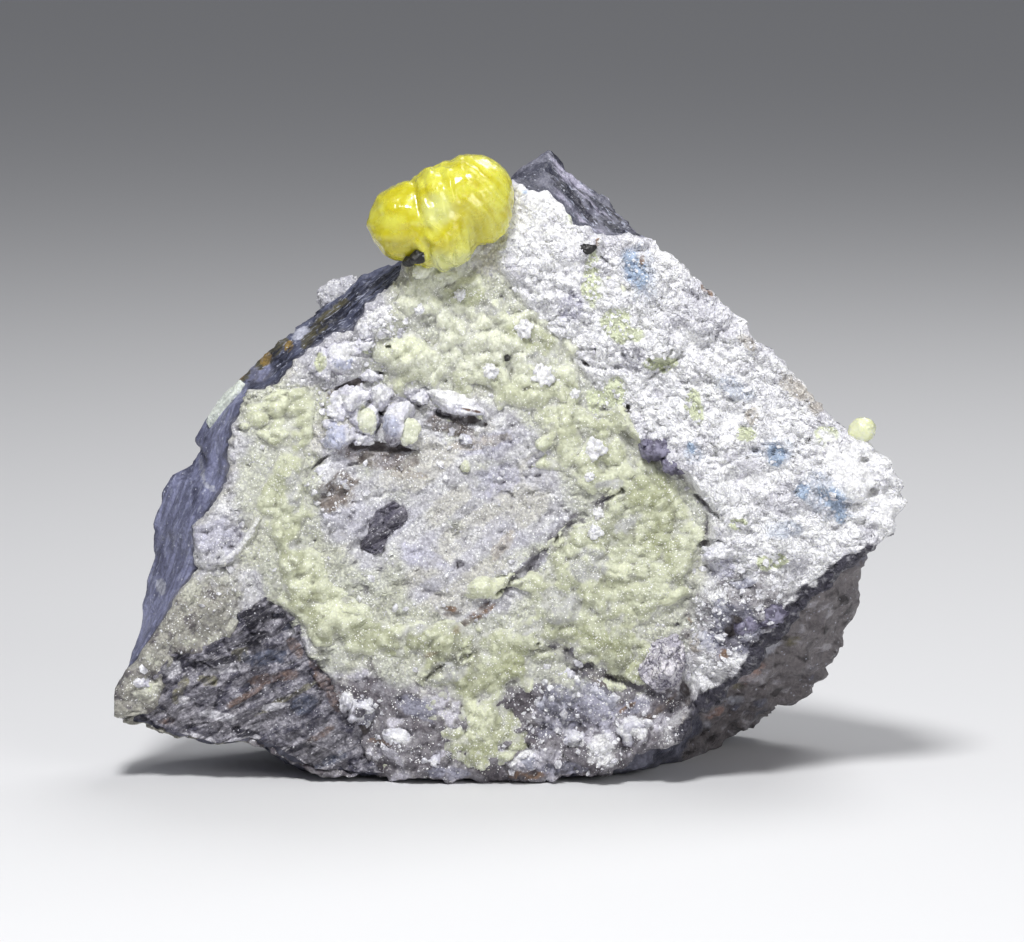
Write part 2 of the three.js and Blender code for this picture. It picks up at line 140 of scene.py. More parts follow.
# crumpled sheet over a plane, at two sizes: sharp creases where bent noise is zero, rounded folds between
def crumpled(x, z, layer):
    bentX = x + 0.6 * noise(x / 1.9, layer, z / 1.9)
    bentZ = z + 0.6 * noise(z / 1.7, layer + 5, x / 1.7)
    return np.abs(noise(bentX, layer + 9, bentZ)) + 0.45 * np.abs(noise(2.3 * bentX, layer + 13, 2.3 * bentZ))


# overlapping plates seen from the side: a slow rise, then a drop back at each plate's edge
def plates(phase, drop=0.12):
    part = phase - np.floor(phase)
    return np.where(part < 1 - drop, part / (1 - drop), (1 - part) / drop)


hub = (0, 42)  # the front face is swept round this point: x, z
face = {"y": -18, "lean": 0.08}
crust = {"thickness": 1.7, "ridge": 2.4, "druse": 1.5}
seam = {"from": -62, "to": -4, "depth": 2.6, "back": 4.2}
backFace = {"y": 21, "lean": 0.25}
druseInset = 0.985

# edge of the front face, counter-clockwise: x, z
rimOutline = np.array([
    (55, 39.7), (54, 42), (52.5, 45.2), (47.2, 48.6), (43.7, 51.8), (38.1, 57.6), (33.3, 63),
    (27.4, 68.5), (23.5, 71.8), (20, 75.1), (17.4, 75.9), (11.3, 75.8), (9.2, 78), (7.2, 80.6),
    (5.2, 82.6), (0.1, 83.5), (-5, 80), (-9.9, 76), (-14.3, 71.6), (-17.8, 67.7), (-20.3, 66.4),
    (-22.1, 62.9), (-25.8, 61.7), (-28.6, 59.5), (-32.2, 55.6), (-35.6, 54.2), (-37.7, 51.6),
    (-39.7, 47.6), (-38.7, 42), (-42.5, 37.4), (-44, 34.9), (-43.8, 29.8), (-48.2, 23.2), (-51.6, 18.4),
    (-56.2, 11.2), (-55.8, 9.4), (-46.1, 6), (-41.2, 4.9), (-37, 5.7), (-33.5, 4.6), (-30.2, 2.6),
    (-27.7, 1.3), (-15.5, 0.6), (-0.8, 0.3), (6.8, 0.6), (12.4, 1.1), (16.8, 2.6), (24.9, 8.2),
    (32.6, 15.6), (37.2, 20.5), (42.3, 26.4), (47.9, 31.3), (53.2, 35.4),
])
# widest outline of the rock, a little way behind the front face: x, z, y
bellyOutline = np.array([
    (51, 37, -4), (46.5, 42.5, -3), (38.5, 50, -2), (29, 60, -1), (20.5, 69.5, -2), (15.9, 76.8, -3),
    (10.3, 82.4, -3), (7.1, 85.2, -2), (5.3, 86.4, -2), (2.6, 84.8, -3), (-0.4, 82.4, -4),
    (-9.9, 75.2, -4), (-16.8, 70.6, -4), (-25.2, 65.6, -4), (-33.5, 59.6, -4), (-37.7, 55.5, -4),
    (-41.2, 51.4, -5), (-46.4, 44.4, -6), (-48.4, 39.8, -6), (-49.8, 34.8, -6), (-50.5, 29.8, -7),
    (-51.8, 22.3, -8), (-53, 17, -10), (-54.8, 11, -12), (-52, 8, -9), (-46, 5, -5), (-40, 3.4, -2),
    (-34, 2.4, -5), (-29, 0, -10), (-15, 0, -14), (0, 0, -15), (14, 0, -13), (24, 0, -4), (29.4, 0, 6),
    (35.4, 2.4, 10), (43.4, 7.6, 10), (48.4, 14.2, 10), (48.2, 17.2, 10), (50, 20.4, 9), (49.6, 25, 8),
    (50.6, 29, 5), (52, 33, 0),
])
# rim of the broken back: x, z, y
backOutline = np.array([
    (40, 33, 12), (35, 44, 11), (24, 57, 8), (14, 69, 5), (7, 76, 3), (3, 76.5, 2), (-8, 69, 3),
    (-19, 60, 5), (-31, 49, 7), (-39, 38, 8), (-43, 26, 9), (-43, 14, 9), (-36, 6, 12), (-27, 0, 16),
    (-10, 0, 23), (12, 0, 25), (27, 0, 23), (37, 3, 20), (42, 12, 18), (43, 22, 15),
])
# planes the sides and back are broken along: normal x, y, z and distance
fractures = [
    (-0.6, 0.75, 0.25, 35.2), (-0.3, 0.85, 0.43, 34.2), (0.35, 0.9, 0.25, 30.6), (0.3, 0.85, 0.42, 36.6),
    (0.1, 0.93, 0.36, 30.4), (-0.2, 0.97, 0.1, 22.4), (0.55, 0.8, -0.2, 32), (-0.45, 0.86, -0.25, 20.5),
    (-0.6, 0.5, -0.6, 22.6),
]
# left edge of the raised white field: z, x
ridgeEdge = np.array([
    (0, 18), (8, 21), (14, 25), (22, 27), (31, 26.5), (37, 28.5), (43.5, 24), (46, 19), (50, 15),
    (55.5, 12), (64, 5), (73, -1.5), (84, 0),
])
# linked patches of druse: x, z, half width, half height, turn
drusePatches = [
    (-11.3, 69, 6.5, 5, 20), (-5.5, 63.5, 9, 7.5, 0), (1.5, 60.5, 8, 8, 0), (6.5, 53.5, 7, 8, 30),
    (12, 47.5, 6.5, 7, 40), (18, 40.5, 8, 6.5, -30), (19, 34, 8.5, 8, 0), (11, 31, 8.5, 6, 20),
    (18.5, 25, 9, 8, 0), (7, 22.5, 10.5, 7, 10), (14.5, 16.5, 8, 6, 20), (-3.5, 18.5, 8, 5, 20),
    (-4, 11.5, 8.5, 5.5, 0), (-5, 4.6, 5, 5, 0), (-15.5, 19.5, 9.5, 4.2, 10), (-23, 23, 7, 6, 0),
    (-29, 28.5, 6.5, 7, 0), (-31, 36.5, 4, 8, 0), (-32, 45, 5.5, 7, 0), (-31.5, 52.3, 7.6, 4, 20),
    (-14.5, 59.5, 7, 4.5, 0),
]


# squared distance from an ellipse's middle, 1 on its edge
def ellipse(x, z, patch):
    px, pz, rx, rz, turn = patch[:5]
    c, s = math.cos(math.radians(turn)), math.sin(math.radians(turn))
    return (((x - px) * c + (z - pz) * s) / rx) ** 2 + (((z - pz) * c - (x - px) * s) / rz) ** 2


# point of a star-shaped outline on the ray at each angle from its centre: the ray cut with the side it meets
def outlineAt(outline, angle, centre=hub):
    corners = np.arctan2(outline[:, 1] - centre[1], outline[:, 0] - centre[0])
    order = np.argsort(corners)
    start, turned = outline[order], corners[order]
    end = np.roll(start, -1, axis=0)
    at = (np.asarray(angle) - turned[0]) % (2 * np.pi) + turned[0]
    side = np.clip(np.searchsorted(turned, at, side="right") - 1, 0, len(turned) - 1)
    ax, az = start[side, 0] - centre[0], start[side, 1] - centre[1]
    bx, bz = end[side, 0] - centre[0], end[side, 1] - centre[1]
    dx, dz = np.cos(angle), np.sin(angle)
    facing = dx * (bz - az) - dz * (bx - ax)
    reach = (ax * bz - az * bx) / facing
    along = (dz * ax - dx * az) / facing
    y = start[side, 2] + (end[side, 2] - start[side, 2]) * along if outline.shape[1] > 2 else 0 * reach
    return np.stack([centre[0] + reach * dx, y, centre[1] + reach * dz], -1)


# distance to a run of straight lines through the points, and how far along it the nearest point is, 0..1
def lineDistance(x, z, run):
    best, where = np.full(x.shape, 1e9), np.zeros(x.shape)
    for n, ((ax, az), (bx, bz)) in enumerate(zip(run[:-1], run[1:])):
        t = np.clip(((x - ax) * (bx - ax) + (z - az) * (bz - az)) / ((bx - ax) ** 2 + (bz - az) ** 2), 0, 1)
        far = np.hypot(x - ax - t * (bx - ax), z - az - t * (bz - az))
        where = np.where(far < best, (n + t) / (len(run) - 1), where)
        best = np.minimum(best, far)
    return best, where


# distance inwards from a closed outline, below zero outside it: nearest side, signed by counting crossings
def inside(x, z, outline):
    far, _ = lineDistance(x, z, [*outline, outline[0]])
    odd = np.zeros(x.shape, bool)
    for (ax, az), (bx, bz) in zip(outline, [*outline[1:], outline[0]]):
        crosses = (az > z) != (bz > z)
        odd ^= crosses & (x < ax + (z - az) * (bx - ax) / (bz - az if bz != az else 1))
    return np.where(odd, far, -far)


# front of the rock: a plane that leans back, with long soft swells
def rockFrontY(x, z):
    return face["y"] + face["lean"] * z + 0.9 * noise(x / 17, 3, z / 17)


# 1 on the raised white field, 0 to the left of its wandering edge
def fieldMask(x, z):
    wander = 1.6 * noise(x / 6, 11, z / 6)
    return smooth((x - np.interp(z, ridgeEdge[:, 0], ridgeEdge[:, 1]) + wander) / 2.4 + 0.5)


# thickness of the crust before its relief: even, with the raised field and long swells
def crustBase(x, z):
    steep = 0.35 + 0.65 * smooth((56 - z) / 10)
    swells = 0.6 * noise(x / 7, 5, z / 7) + 0.45 * noise(x / 3.4, 8, z / 3.4)
    return crust["thickness"] + crust["ridge"] * fieldMask(x, z) * steep + swells


# how strongly the druse's patches reach a place: they add up like soft discs
def druseStrength(x, z):
    return sum(np.exp(-1.6 * ellipse(x, z, patch)) for patch in drusePatches)


# little outliers of the druse: x, z, half width, half height, turn
smallPatches = [(-4.4, 27.6, 3.2, 1.9, 15), (-33, 51.6, 5, 2.4, 25), (4.4, 47.6, 1.4, 0.8, 20),
                (-16, 20.6, 2.4, 1.2, 0),
                (-40.6, 19.4, 2.2, 1, 30), (-2, 6, 5, 4.6, 0)]


# 1 inside the druse, 0 outside its ragged edge
def druseCover(x, z):
    small = sum(np.exp(-1.2 * ellipse(x, z, patch)) for patch in smallPatches)
    strength = (druseStrength(x, z) + 0.9 * small + 0.4 * noise(x / 5.6, 131, z / 5.6)
                + 0.3 * noise(x / 2.2, 133, z / 2.2))
    return smooth((strength - 0.24) / 0.8)


# direction away from the middle of the rock
def outward(points):
    away = points * [1, 0.6, 1] - [hub[0], 2.4, hub[1]]
    return away / np.linalg.norm(away, axis=1, keepdims=True)


# 0 at the front face, 1 from 7 mm behind it
def behind(points):
    return smooth((points[:, 1] - rockFrontY(points[:, 0], points[:, 2])) / 7)


# the rock's sides and back: pressed onto each fracture plane, swelled by noise, and kept above the ground
def weathered(points):
    for plane in fractures:
        normal = np.array(plane[:3]) / np.linalg.norm(plane[:3])
        points = points - np.maximum(points @ normal - plane[3], 0)[:, None] * normal
    x, y, z = points.T
    rough = 0.6 * noise(x / 11, y / 11, z / 11) + 0.4 * noise(x / 5, y / 5, z / 5)
    points = points + outward(points) * (rough * behind(points) * smooth(z / 6))[:, None]
    points[:, 2] = np.maximum(points[:, 2], 0)
    return points


# square grid bent onto a disc, rows first: angle and reach of each point
def discGrid(cells):
    side = np.linspace(-1, 1, cells + 1)
    a, b = np.meshgrid(side, side)
    wide = np.abs(a) > np.abs(b)
    reach = np.where(wide, a, b)
    safe = np.where(reach == 0, 1, reach)
    angle = np.where(wide, np.pi / 4 * b / safe, np.pi / 2 - np.pi / 4 * a / safe)
    return np.where(reach < 0, angle + np.pi, angle).ravel(), np.abs(reach).ravel()


# points round a disc grid's edge, counter-clockwise
def discEdge(cells):
    k, n = np.arange(cells), cells + 1
    return np.concatenate([k * n + cells, cells * n + cells - k, (cells - k) * n, k])


# squares between two rings of points
def band(near, far):
    return np.stack([near, far, np.roll(far, -1), np.roll(near, -1)], -1)


# closed surface: a front sheet on a disc grid or one point, rings from its edge backwards, and a back sheet
# or one point
def shell(cells, front, rings, back):
    corner = (np.arange(cells)[:, None] * (cells + 1) + np.arange(cells)).ravel()
    squares = np.stack([corner, corner + 1, corner + cells + 2, corner + cells + 1], -1)
    last, count, faces = discEdge(cells), len(front), [squares]
    if count == 1:
        here = 1 + np.arange(len(rings[0]))
        faces, last = [np.stack([0 * here, here, np.roll(here, -1)], -1)], here
        count += len(here)
    for ring in rings[len(front) == 1:]:
        here = count + np.arange(len(ring))
        faces.append(band(last, here))
        last, count = here, count + len(ring)
    if len(back) == 1:
        faces.append(np.stack([last, np.full(len(last), count), np.roll(last, -1)], -1))
    else:
        faces += [band(last, discEdge(cells) + count), squares[:, ::-1] + count]
    return np.concatenate([front, *rings, back]), faces


# a piece of the specimen from points in millimetres, kept inside the CAD box, with a value at each point
# for every named mask
def makePiece(name, points, faces, material, slot, body="root", crisp=False, replaced=(), **masks):
    mesh = bpy.data.meshes.new(name)
    corners = np.concatenate([f.ravel() for f in faces])
    sizes = np.concatenate([np.full(len(f), f.shape[1]) for f in faces])
    mesh.vertices.add(len(points))
    mesh.vertices.foreach_set("co", (np.clip(points, boxLow, boxHigh) * mm).astype(np.float32).ravel())
    mesh.loops.add(len(corners))
    mesh.loops.foreach_set("vertex_index", corners.astype(np.int32))
    mesh.polygons.add(len(sizes))
    mesh.polygons.foreach_set("loop_start", np.concatenate([[0], np.cumsum(sizes)[:-1]]).astype(np.int32))
    mesh.polygons.foreach_set("use_smooth", np.full(len(sizes), not crisp))
    mesh.update(calc_edges=True)
    for mask, values in masks.items():
        mesh.attributes.new(mask, "FLOAT", "POINT").data.foreach_set("value", values.astype(np.float32))
    mesh.materials.append(material)
    piece = bpy.data.objects.new(name, mesh)
    bpy.context.scene.collection.objects.link(piece)
    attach(piece, body)
    if replaced:
        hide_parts(*replaced)
    print(name, len(points), "points,", int((sizes - 2).sum()), "triangles")
    return piece


# a shader node with its settings, and its sockets fed by numbers, colours or other nodes' outputs
def put(tree, kind, sockets=None, **settings):
    node = tree.nodes.new("ShaderNode" + kind)
    for name, value in settings.items():
        setattr(node, name, value)
    for name, value in (sockets or {}).items():
        if isinstance(value, bpy.types.NodeSocket):
            tree.links.new(value, node.inputs[name])
        else:
            node.inputs[name].default_value = value
    return node


# one value worked out from up to three others
def calc(tree, operation, a, b=0.0, c=0.0, clamp=False):
    return put(tree, "Math", {0: a, 1: b, 2: c}, operation=operation, use_clamp=clamp).outputs[0]


# 0 up to low, 1 from high on, and a soft step between them
def step(tree, value, low, high):
    sockets = {"Value": value, "From Min": low, "From Max": high}
    return put(tree, "MapRange", sockets, interpolation_type="SMOOTHSTEP").outputs["Result"]


# colour a, turning into colour b as the mask rises
def mix(tree, mask, a, b, blend="MIX"):
    return put(tree, "Mix", {0: mask, 6: a, 7: b}, data_type="RGBA", blend_type=blend).outputs[2]


# value a, turning into value b as the mask rises
def blend(tree, mask, a, b):
    return put(tree, "Mix", {0: mask, 2: a, 3: b}, data_type="FLOAT").outputs[0]


# mask stored on the mesh's points
def stored(tree, name):
    return put(tree, "Attribute", attribute_name=name).outputs["Fac"]


# colour given as seen on a screen, 0 to 255, as linear values
def tone(red, green, blue):
    return (*(np.array([red, green, blue]) / 255) ** 2.2, 1)


# empty node group with named sockets, and its input and output nodes
def newGroup(name, inputs, outputs):
    tree = bpy.data.node_groups.new(name, "ShaderNodeTree")
    for sockets, side in ((inputs, "INPUT"), (outputs, "OUTPUT")):
        for socket, kind in sockets.items():
            tree.interface.new_socket(socket, in_out=side, socket_type="NodeSocket" + kind)
    return tree, tree.nodes.new("NodeGroupInput").outputs, tree.nodes.new("NodeGroupOutput").inputs


# position in units of a feature size given in millimetres
def sized(tree, vector, size):
    scale = calc(tree, "DIVIDE", 1000, size)
    return put(tree, "VectorMath", {0: vector, "Scale": scale}, operation="SCALE").outputs[0]


# grains packed side by side: their height, and the gaps between them, where shade is painted
def gritGroup():
    tree, given, out = newGroup("grit", {"Vector": "Vector", "Size": "Float"},
                                {"Height": "Float", "Gap": "Float"})
    at = sized(tree, given["Vector"], given["Size"])
    coarse = put(tree, "TexVoronoi", {"Vector": at, "Scale": 1, "Randomness": 1}).outputs["Distance"]
    fine = put(tree, "TexVoronoi", {"Vector": at, "Scale": 2.4}).outputs["Distance"]
    rough = put(tree, "TexNoise", {"Vector": at, "Scale": 0.8, "Detail": 5, "Roughness": 0.65}).outputs["Fac"]
    height = calc(tree, "MULTIPLY_ADD", coarse, -0.6, rough)
    tree.links.new(calc(tree, "MULTIPLY_ADD", fine, -0.3, height), out["Height"])
    gap = calc(tree, "MULTIPLY_ADD", rough, -1.1, calc(tree, "MULTIPLY_ADD", fine, 0.35, coarse))
    tree.links.new(step(tree, gap, -0.15, 0.45), out["Gap"])
    return tree


# small crystal faces, each tilted its own way; a share of them hold a bright mirror in their middle
def glitterGroup():
    inputs = {"Vector": "Vector", "Size": "Float", "Tilt": "Float", "Share": "Float"}
    tree, given, out = newGroup("glitter", inputs, {"Normal": "Vector", "Glint": "Float"})
    at = sized(tree, given["Vector"], given["Size"])
    cell = put(tree, "TexVoronoi", {"Vector": at, "Scale": 1})
    turned = put(tree, "VectorMath", {0: cell.outputs["Color"], 1: (0.5, 0.5, 0.5)},
                 operation="SUBTRACT").outputs[0]
    turned = put(tree, "VectorMath", {0: turned, "Scale": given["Tilt"]}, operation="SCALE").outputs[0]
    facing = put(tree, "NewGeometry").outputs["Normal"]
    turned = put(tree, "VectorMath", {0: turned, 1: facing}, operation="ADD").outputs[0]
    tree.links.new(put(tree, "VectorMath", {0: turned}, operation="NORMALIZE").outputs[0], out["Normal"])
    spread = put(tree, "TexNoise",
                 {"Vector": at, "Scale": 0.09, "Detail": 2}).outputs["Fac"]  # sparser in some places
    share = calc(tree, "MULTIPLY", calc(tree, "MULTIPLY_ADD", spread, 4, -1.3), given["Share"])
    random = put(tree, "SeparateColor", {0: cell.outputs["Color"]}).outputs["Green"]
    picked = calc(tree, "LESS_THAN", random, share)
    tree.links.new(calc(tree, "MULTIPLY", picked, calc(tree, "LESS_THAN", cell.outputs["Distance"], 0.42)),
                   out["Glint"])
    return tree


# soft clouds between two thresholds
def cloudsGroup():
    inputs = {"Vector": "Vector", "Size": "Float", "Low": "Float", "High": "Float"}
    tree, given, out = newGroup("clouds", inputs, {"Mask": "Float"})
    at = sized(tree, given["Vector"], given["Size"])
    cloud = put(tree, "TexNoise", {"Vector": at, "Scale": 1, "Detail": 4, "Roughness": 0.6}).outputs["Fac"]
    tree.links.new(step(tree, cloud, given["Low"], given["High"]), out["Mask"])
    return tree


# crumpled foil: creases where bent noise crosses its middle value, at two sizes, for painted shade, and the
# folds' height
def crinkleGroup():
    inputs, outputs = {"Vector": "Vector", "Size": "Float"}, {"Height": "Float", "Crease": "Float"}
    tree, given, out = newGroup("crinkle", inputs, outputs)
    at = sized(tree, given["Vector"], given["Size"])
    folds = []
    for scale, bend in ((0.5, 0.8), (1.1, 0.6)):
        wave = put(tree, "TexNoise",
                   {"Vector": at, "Scale": scale, "Detail": 1.5, "Distortion": bend}).outputs["Fac"]
        folds.append(calc(tree, "MULTIPLY", calc(tree, "ABSOLUTE", calc(tree, "SUBTRACT", wave, 0.5)), 6))
    height = calc(tree, "MULTIPLY_ADD", folds[1], 0.5, folds[0])
    tree.links.new(calc(tree, "MINIMUM", height, 1.3), out["Height"])
    deepest = calc(tree, "SUBTRACT", 1, step(tree, folds[0], 0.0, 0.32))
    finer = calc(tree, "SUBTRACT", 1, step(tree, folds[1], 0.0, 0.3))
    tree.links.new(calc(tree, "MULTIPLY_ADD", finer, 0.55, deepest, clamp=True), out["Crease"])
    return tree


# thin layers in rock: streaks drawn out along the first axis, and their relief
def beddingGroup():
    tree, given, out = newGroup("bedding", {"Vector": "Vector", "Size": "Float"},
                                {"Streak": "Float", "Thread": "Float", "Height": "Float"})
    at = sized(tree, given["Vector"], given["Size"])
    drawn = put(tree, "Mapping", {"Vector": at, "Scale": (0.16, 0.5, 1)}).outputs[0]
    broad = put(tree, "TexNoise",
                {"Vector": drawn, "Scale": 1, "Detail": 5, "Distortion": 0.6}).outputs["Fac"]
    fine = put(tree, "TexNoise",
               {"Vector": drawn, "Scale": 3.2, "Detail": 4, "Distortion": 0.8}).outputs["Fac"]
    tree.links.new(step(tree, broad, 0.42, 0.6), out["Streak"])
    tree.links.new(step(tree, fine, 0.56, 0.68), out["Thread"])
    tree.links.new(calc(tree, "MULTIPLY_ADD", fine, 0.5, broad), out["Height"])
    return tree


grit, glitter, clouds, crinkle, bedding = (gritGroup(), glitterGroup(), cloudsGroup(), crinkleGroup(),
                                           beddingGroup())


# mask of soft clouds in a material
def cloudMask(tree, where, size, low, high):
    sockets = {"Vector": where, "Size": size, "Low": low, "High": high}
    return put(tree, "Group", sockets, node_tree=clouds).outputs["Mask"]


# material of mineral grains: its light and dark colours in clouds, layers of colour painted where a mask on
# the mesh asks for them (each with the mask values where it starts and is full), streaks of bedding, painted
# shade in the gaps between the grains or in the creases where it is crinkled, darker flecks, and glints from
# tilted faces, with a painted highlight of the glint colour on them
def mineral(name, look, layers=()):
    material = bpy.data.materials.new(name)
    material.use_nodes = True
    tree = material.node_tree
    tree.nodes.clear()
    where = put(tree, "TexCoord").outputs["Object"]
    colour = mix(tree, cloudMask(tree, where, look["clouds"], 0.38, 0.64), look["dark"], look["light"])
    sand = put(tree, "Group", {"Vector": where, "Size": look["grain"]}, node_tree=grit)
    relief, shaded = sand.outputs["Height"], calc(tree, "MULTIPLY", sand.outputs["Gap"], look["gap"])
    rag = calc(tree, "MULTIPLY_ADD", cloudMask(tree, where, 1.1, 0.3, 0.7), 0.5, -0.25) if layers else None
    for mask, paint, start, full in layers:
        ragged = calc(tree, "ADD", rag, stored(tree, mask))
        colour = mix(tree, step(tree, ragged, start, full), colour, paint)
    for turn, mask in look.get("beds", ()):
        turned = put(tree, "Mapping", {"Vector": where, "Rotation": turn}).outputs[0]
        layered = put(tree, "Group", {"Vector": turned, "Size": look["bedding"]}, node_tree=bedding)
        strong = stored(tree, mask)
        colour = mix(tree, calc(tree, "MULTIPLY", layered.outputs["Streak"], strong), colour, look["streak"])
        colour = mix(tree, calc(tree, "MULTIPLY", layered.outputs["Thread"], strong), colour, look["thread"])
        ridges = calc(tree, "MULTIPLY", layered.outputs["Height"], strong)
        relief = calc(tree, "MULTIPLY_ADD", ridges, look["ridges"], relief)
    if "crinkle" in look:
        foil = put(tree, "Group", {"Vector": where, "Size": look["crinkle"]}, node_tree=crinkle)
        on = stored(tree, "foil")
        relief = blend(tree, on, relief, calc(tree, "MULTIPLY", foil.outputs["Height"], look["folds"]))
        shaded = blend(tree, on, shaded, calc(tree, "MULTIPLY", foil.outputs["Crease"], look["crease"]))
    if "flecks" in look:
        flecked = calc(tree, "MULTIPLY", cloudMask(tree, where, look["flecks"], 0.5, 0.6), look["fleck"])
        shaded = calc(tree, "MAXIMUM", shaded, flecked)
    # painted shade in the gaps and creases, and the darker flecks, multiplied into the colour
    colour = mix(tree, shaded, colour, look["shade"], "MULTIPLY")
    sockets = {"Vector": where, "Size": look["facet"], "Tilt": look["tilt"], "Share": look["share"]}
    faces = put(tree, "Group", sockets, node_tree=glitter)
    glint = calc(tree, "MULTIPLY", faces.outputs["Glint"], calc(tree, "SUBTRACT", 1, stored(tree, "matte")))
    # painted highlight: the glinting cells are painted towards the glint colour, besides their lower
    # roughness
    colour = mix(tree, calc(tree, "MULTIPLY", glint, look.get("glintPaint", 0.6)), colour, look["glint"])
    rough = calc(tree, "MULTIPLY_ADD", glint, look["mirror"] - look["rough"], look["rough"])
    bump = put(tree, "Bump", {"Strength": 1, "Distance": look["bump"] * mm, "Height": relief,
                              "Normal": faces.outputs["Normal"]})
    shader = put(tree, "BsdfPrincipled", {
        "Base Color": colour, "Roughness": rough, "Normal": bump.outputs[0], "IOR": look.get("ior", 1.55),
        "Subsurface Weight": look.get("haze", 0), "Subsurface Radius": (1, 1, 0.8),
        "Subsurface Scale": look.get("hazeReach", 0.6) * mm,
    })
    tree.links.new(shader.outputs[0], put(tree, "OutputMaterial").inputs[0])
    return material
# edge of the rock's front face, and the line just behind it, cut inwards along the seam
def rimAt(angle):
    rim = outlineAt(rimOutline, angle)
    rim[:, 1] = rockFrontY(rim[:, 0], rim[:, 2])
    return rim


# 1 along the seam's run of angles
def seamRun(angle):
    degrees = np.degrees((angle + np.pi) % (2 * np.pi) - np.pi)
    return smooth((degrees - seam["from"]) / 10) * smooth((seam["to"] - degrees) / 10)


def seamAt(angle):
    run = seamRun(angle)[:, None]
    rim = rimAt(angle)
    edge = rim + (outlineAt(bellyOutline, angle) - rim) * 0.22 * (1 - run)
    inward = np.stack([-np.cos(angle), 0 * angle, -np.sin(angle)], -1)
    return edge + run * (seam["depth"] * inward + [0, seam["back"], 0])


# position of a disc grid's points over the front: x, z, ragged towards the rim
def faceGrid(angle, reach, inset=1.0):
    rim = outlineAt(rimOutline, angle)
    x, z = hub[0] + (rim[:, 0] - hub[0]) * reach * inset, hub[1] + (rim[:, 2] - hub[1]) * reach * inset
    ragged = (0.6 * noise(x / 3.6, 40, z / 3.6) + 0.5 * noise(x / 1.7, 41, z / 1.7)
              + 0.3 * noise(x / 0.8, 42, z / 0.8))
    ragged = ragged * smooth((reach - 0.8) / 0.2)
    return x + ragged * np.cos(angle), z + ragged * np.sin(angle)


# soft ragged spots: x, z, half width, half height, turn
def spots(x, z, patches):
    mask, rag = np.zeros(x.shape), 0.5 * noise(x / 1.5, 81, z / 1.5) + 0.4 * noise(x / 0.7, 82, z / 0.7)
    for patch in patches:
        mask = np.maximum(mask, smooth((1.6 - ellipse(x, z, patch) + rag) / 1.2))
    return mask


# soft line along a run of points, of a given half width
def stroke(x, z, run, width):
    far, _ = lineDistance(x, z, run)
    return smooth(1.6 - far / width - 0.3 * noise(x / 1.2, 83, z / 1.2))


# 1 over the smooth worn face at the left
def wornFace(x, z):
    turn = np.degrees(np.arctan2(z - hub[1], x - hub[0])) % 360 + 4 * noise(x / 6, 45, z / 6)
    return smooth((turn - 156) / 10) * smooth((215 - turn) / 10)


print("matrix rock")
rock = {"edge": 150, "rings": (4, 26, 26), "blocks": 10, "blockOut": 0.8, "chips": 3.4, "chipOut": 0.4,
        "grit": 0.2, "fibre": 0.3, "brokenBack": 0.8}
rockPit = {"x": -45.6, "z": 43.6, "radius": 2.5, "depth": 1.8}


# the rock's own shell: rings from the hub of its face over the rim to the broken back, with flats of two
# sizes, drawn-out fibres, grit, and bumpy grains on the slab behind the seam
def rockShell():
    angle, reach = discGrid(rock["edge"])
    edge = angle[discEdge(rock["edge"])]
    front = []
    for share in (0.3, 0.6, 0.85, 0.995):
        x, z = faceGrid(edge, np.full(edge.shape, share))
        front.append(np.stack([x, rockFrontY(x, z), z], -1))
    stops = [front[-1], seamAt(edge), outlineAt(bellyOutline, edge), outlineAt(backOutline, edge)]
    spans = list(zip(stops[:-1], stops[1:], rock["rings"]))
    rings = [a + (b - a) * t for a, b, count in spans for t in np.arange(1, count + 1) / count][:-1]
    far = outlineAt(backOutline, angle)
    bx, bz = hub[0] + (far[:, 0] - hub[0]) * reach, hub[1] + (far[:, 2] - hub[1]) * reach
    by = (backFace["y"] - backFace["lean"] * (bz - hub[1]) * (1 - reach)
          + (far[:, 1] - backFace["y"]) * reach**1.5)
    sides = weathered(np.concatenate([*rings, np.stack([bx, by, bz], -1)]))
    slab = seamRun(np.arctan2(sides[:, 2] - hub[1], sides[:, 0] - hub[0]))
    slab = slab * smooth((sides[:, 1] - rockFrontY(sides[:, 0], sides[:, 2]) - seam["back"] - 0.6) / 2)
    ringOf = np.minimum(np.arange(len(sides)) // len(edge) / rock["rings"][0], 1)
    big, _ = cells3(*(sides.T / rock["blocks"]), 3)
    small, _ = cells3(*(sides.T / rock["chips"]), 11)
    slabFlats, _ = cells3(*(sides.T / 3.4), 27)
    _, bumps = cells3(*(sides.T / 2.1), 23)
    x, y, z = sides.T
    along, across = 0.81 * x + 0.59 * z, 0.81 * z - 0.59 * x
    fibre = noise(along / 4, y / 1.2, across / 0.9) * smooth((-8 - x) / 10)
    worn = 1 - 0.75 * wornFace(x, z) * (1 - smooth((y - 6) / 8))
    rough = 1 + 0.6 * smooth(noise(*(sides.T / 12)) * 2 + 0.3)
    out = worn * (rock["blockOut"] * big + rough * rock["chipOut"] * small
                  + rock["grit"] * fractal(*(sides.T / 1.3)))
    out = out + rock["brokenBack"] * smooth((y - 7) / 8) * (slabFlats + 0.6 * bumps - 1.2)
    out = out + rock["fibre"] * fibre + slab * (0.9 * slabFlats + 0.6 * bumps + 0.4 * noise(*(sides.T / 1.6))
                                                - 0.6)
    pit = np.hypot(x - rockPit["x"], z - rockPit["z"]) / rockPit["radius"] + smooth((y - 2) / 3)
    out = out - rockPit["depth"] * smooth((1.3 - pit) / 0.8)
    sides = sides + outward(sides) * (out * ringOf * (0.35 + 0.65 * smooth(z / 2)))[:, None]
    sides[:, 2] = np.maximum(sides[:, 2], 0)
    count = len(edge)
    rings = [sides[n * count:(n + 1) * count] for n in range(len(rings))]
    middle = np.array([[hub[0], rockFrontY(*hub), hub[1]]], float)
    return shell(rock["edge"], middle, front + rings, sides[len(rings) * count:])


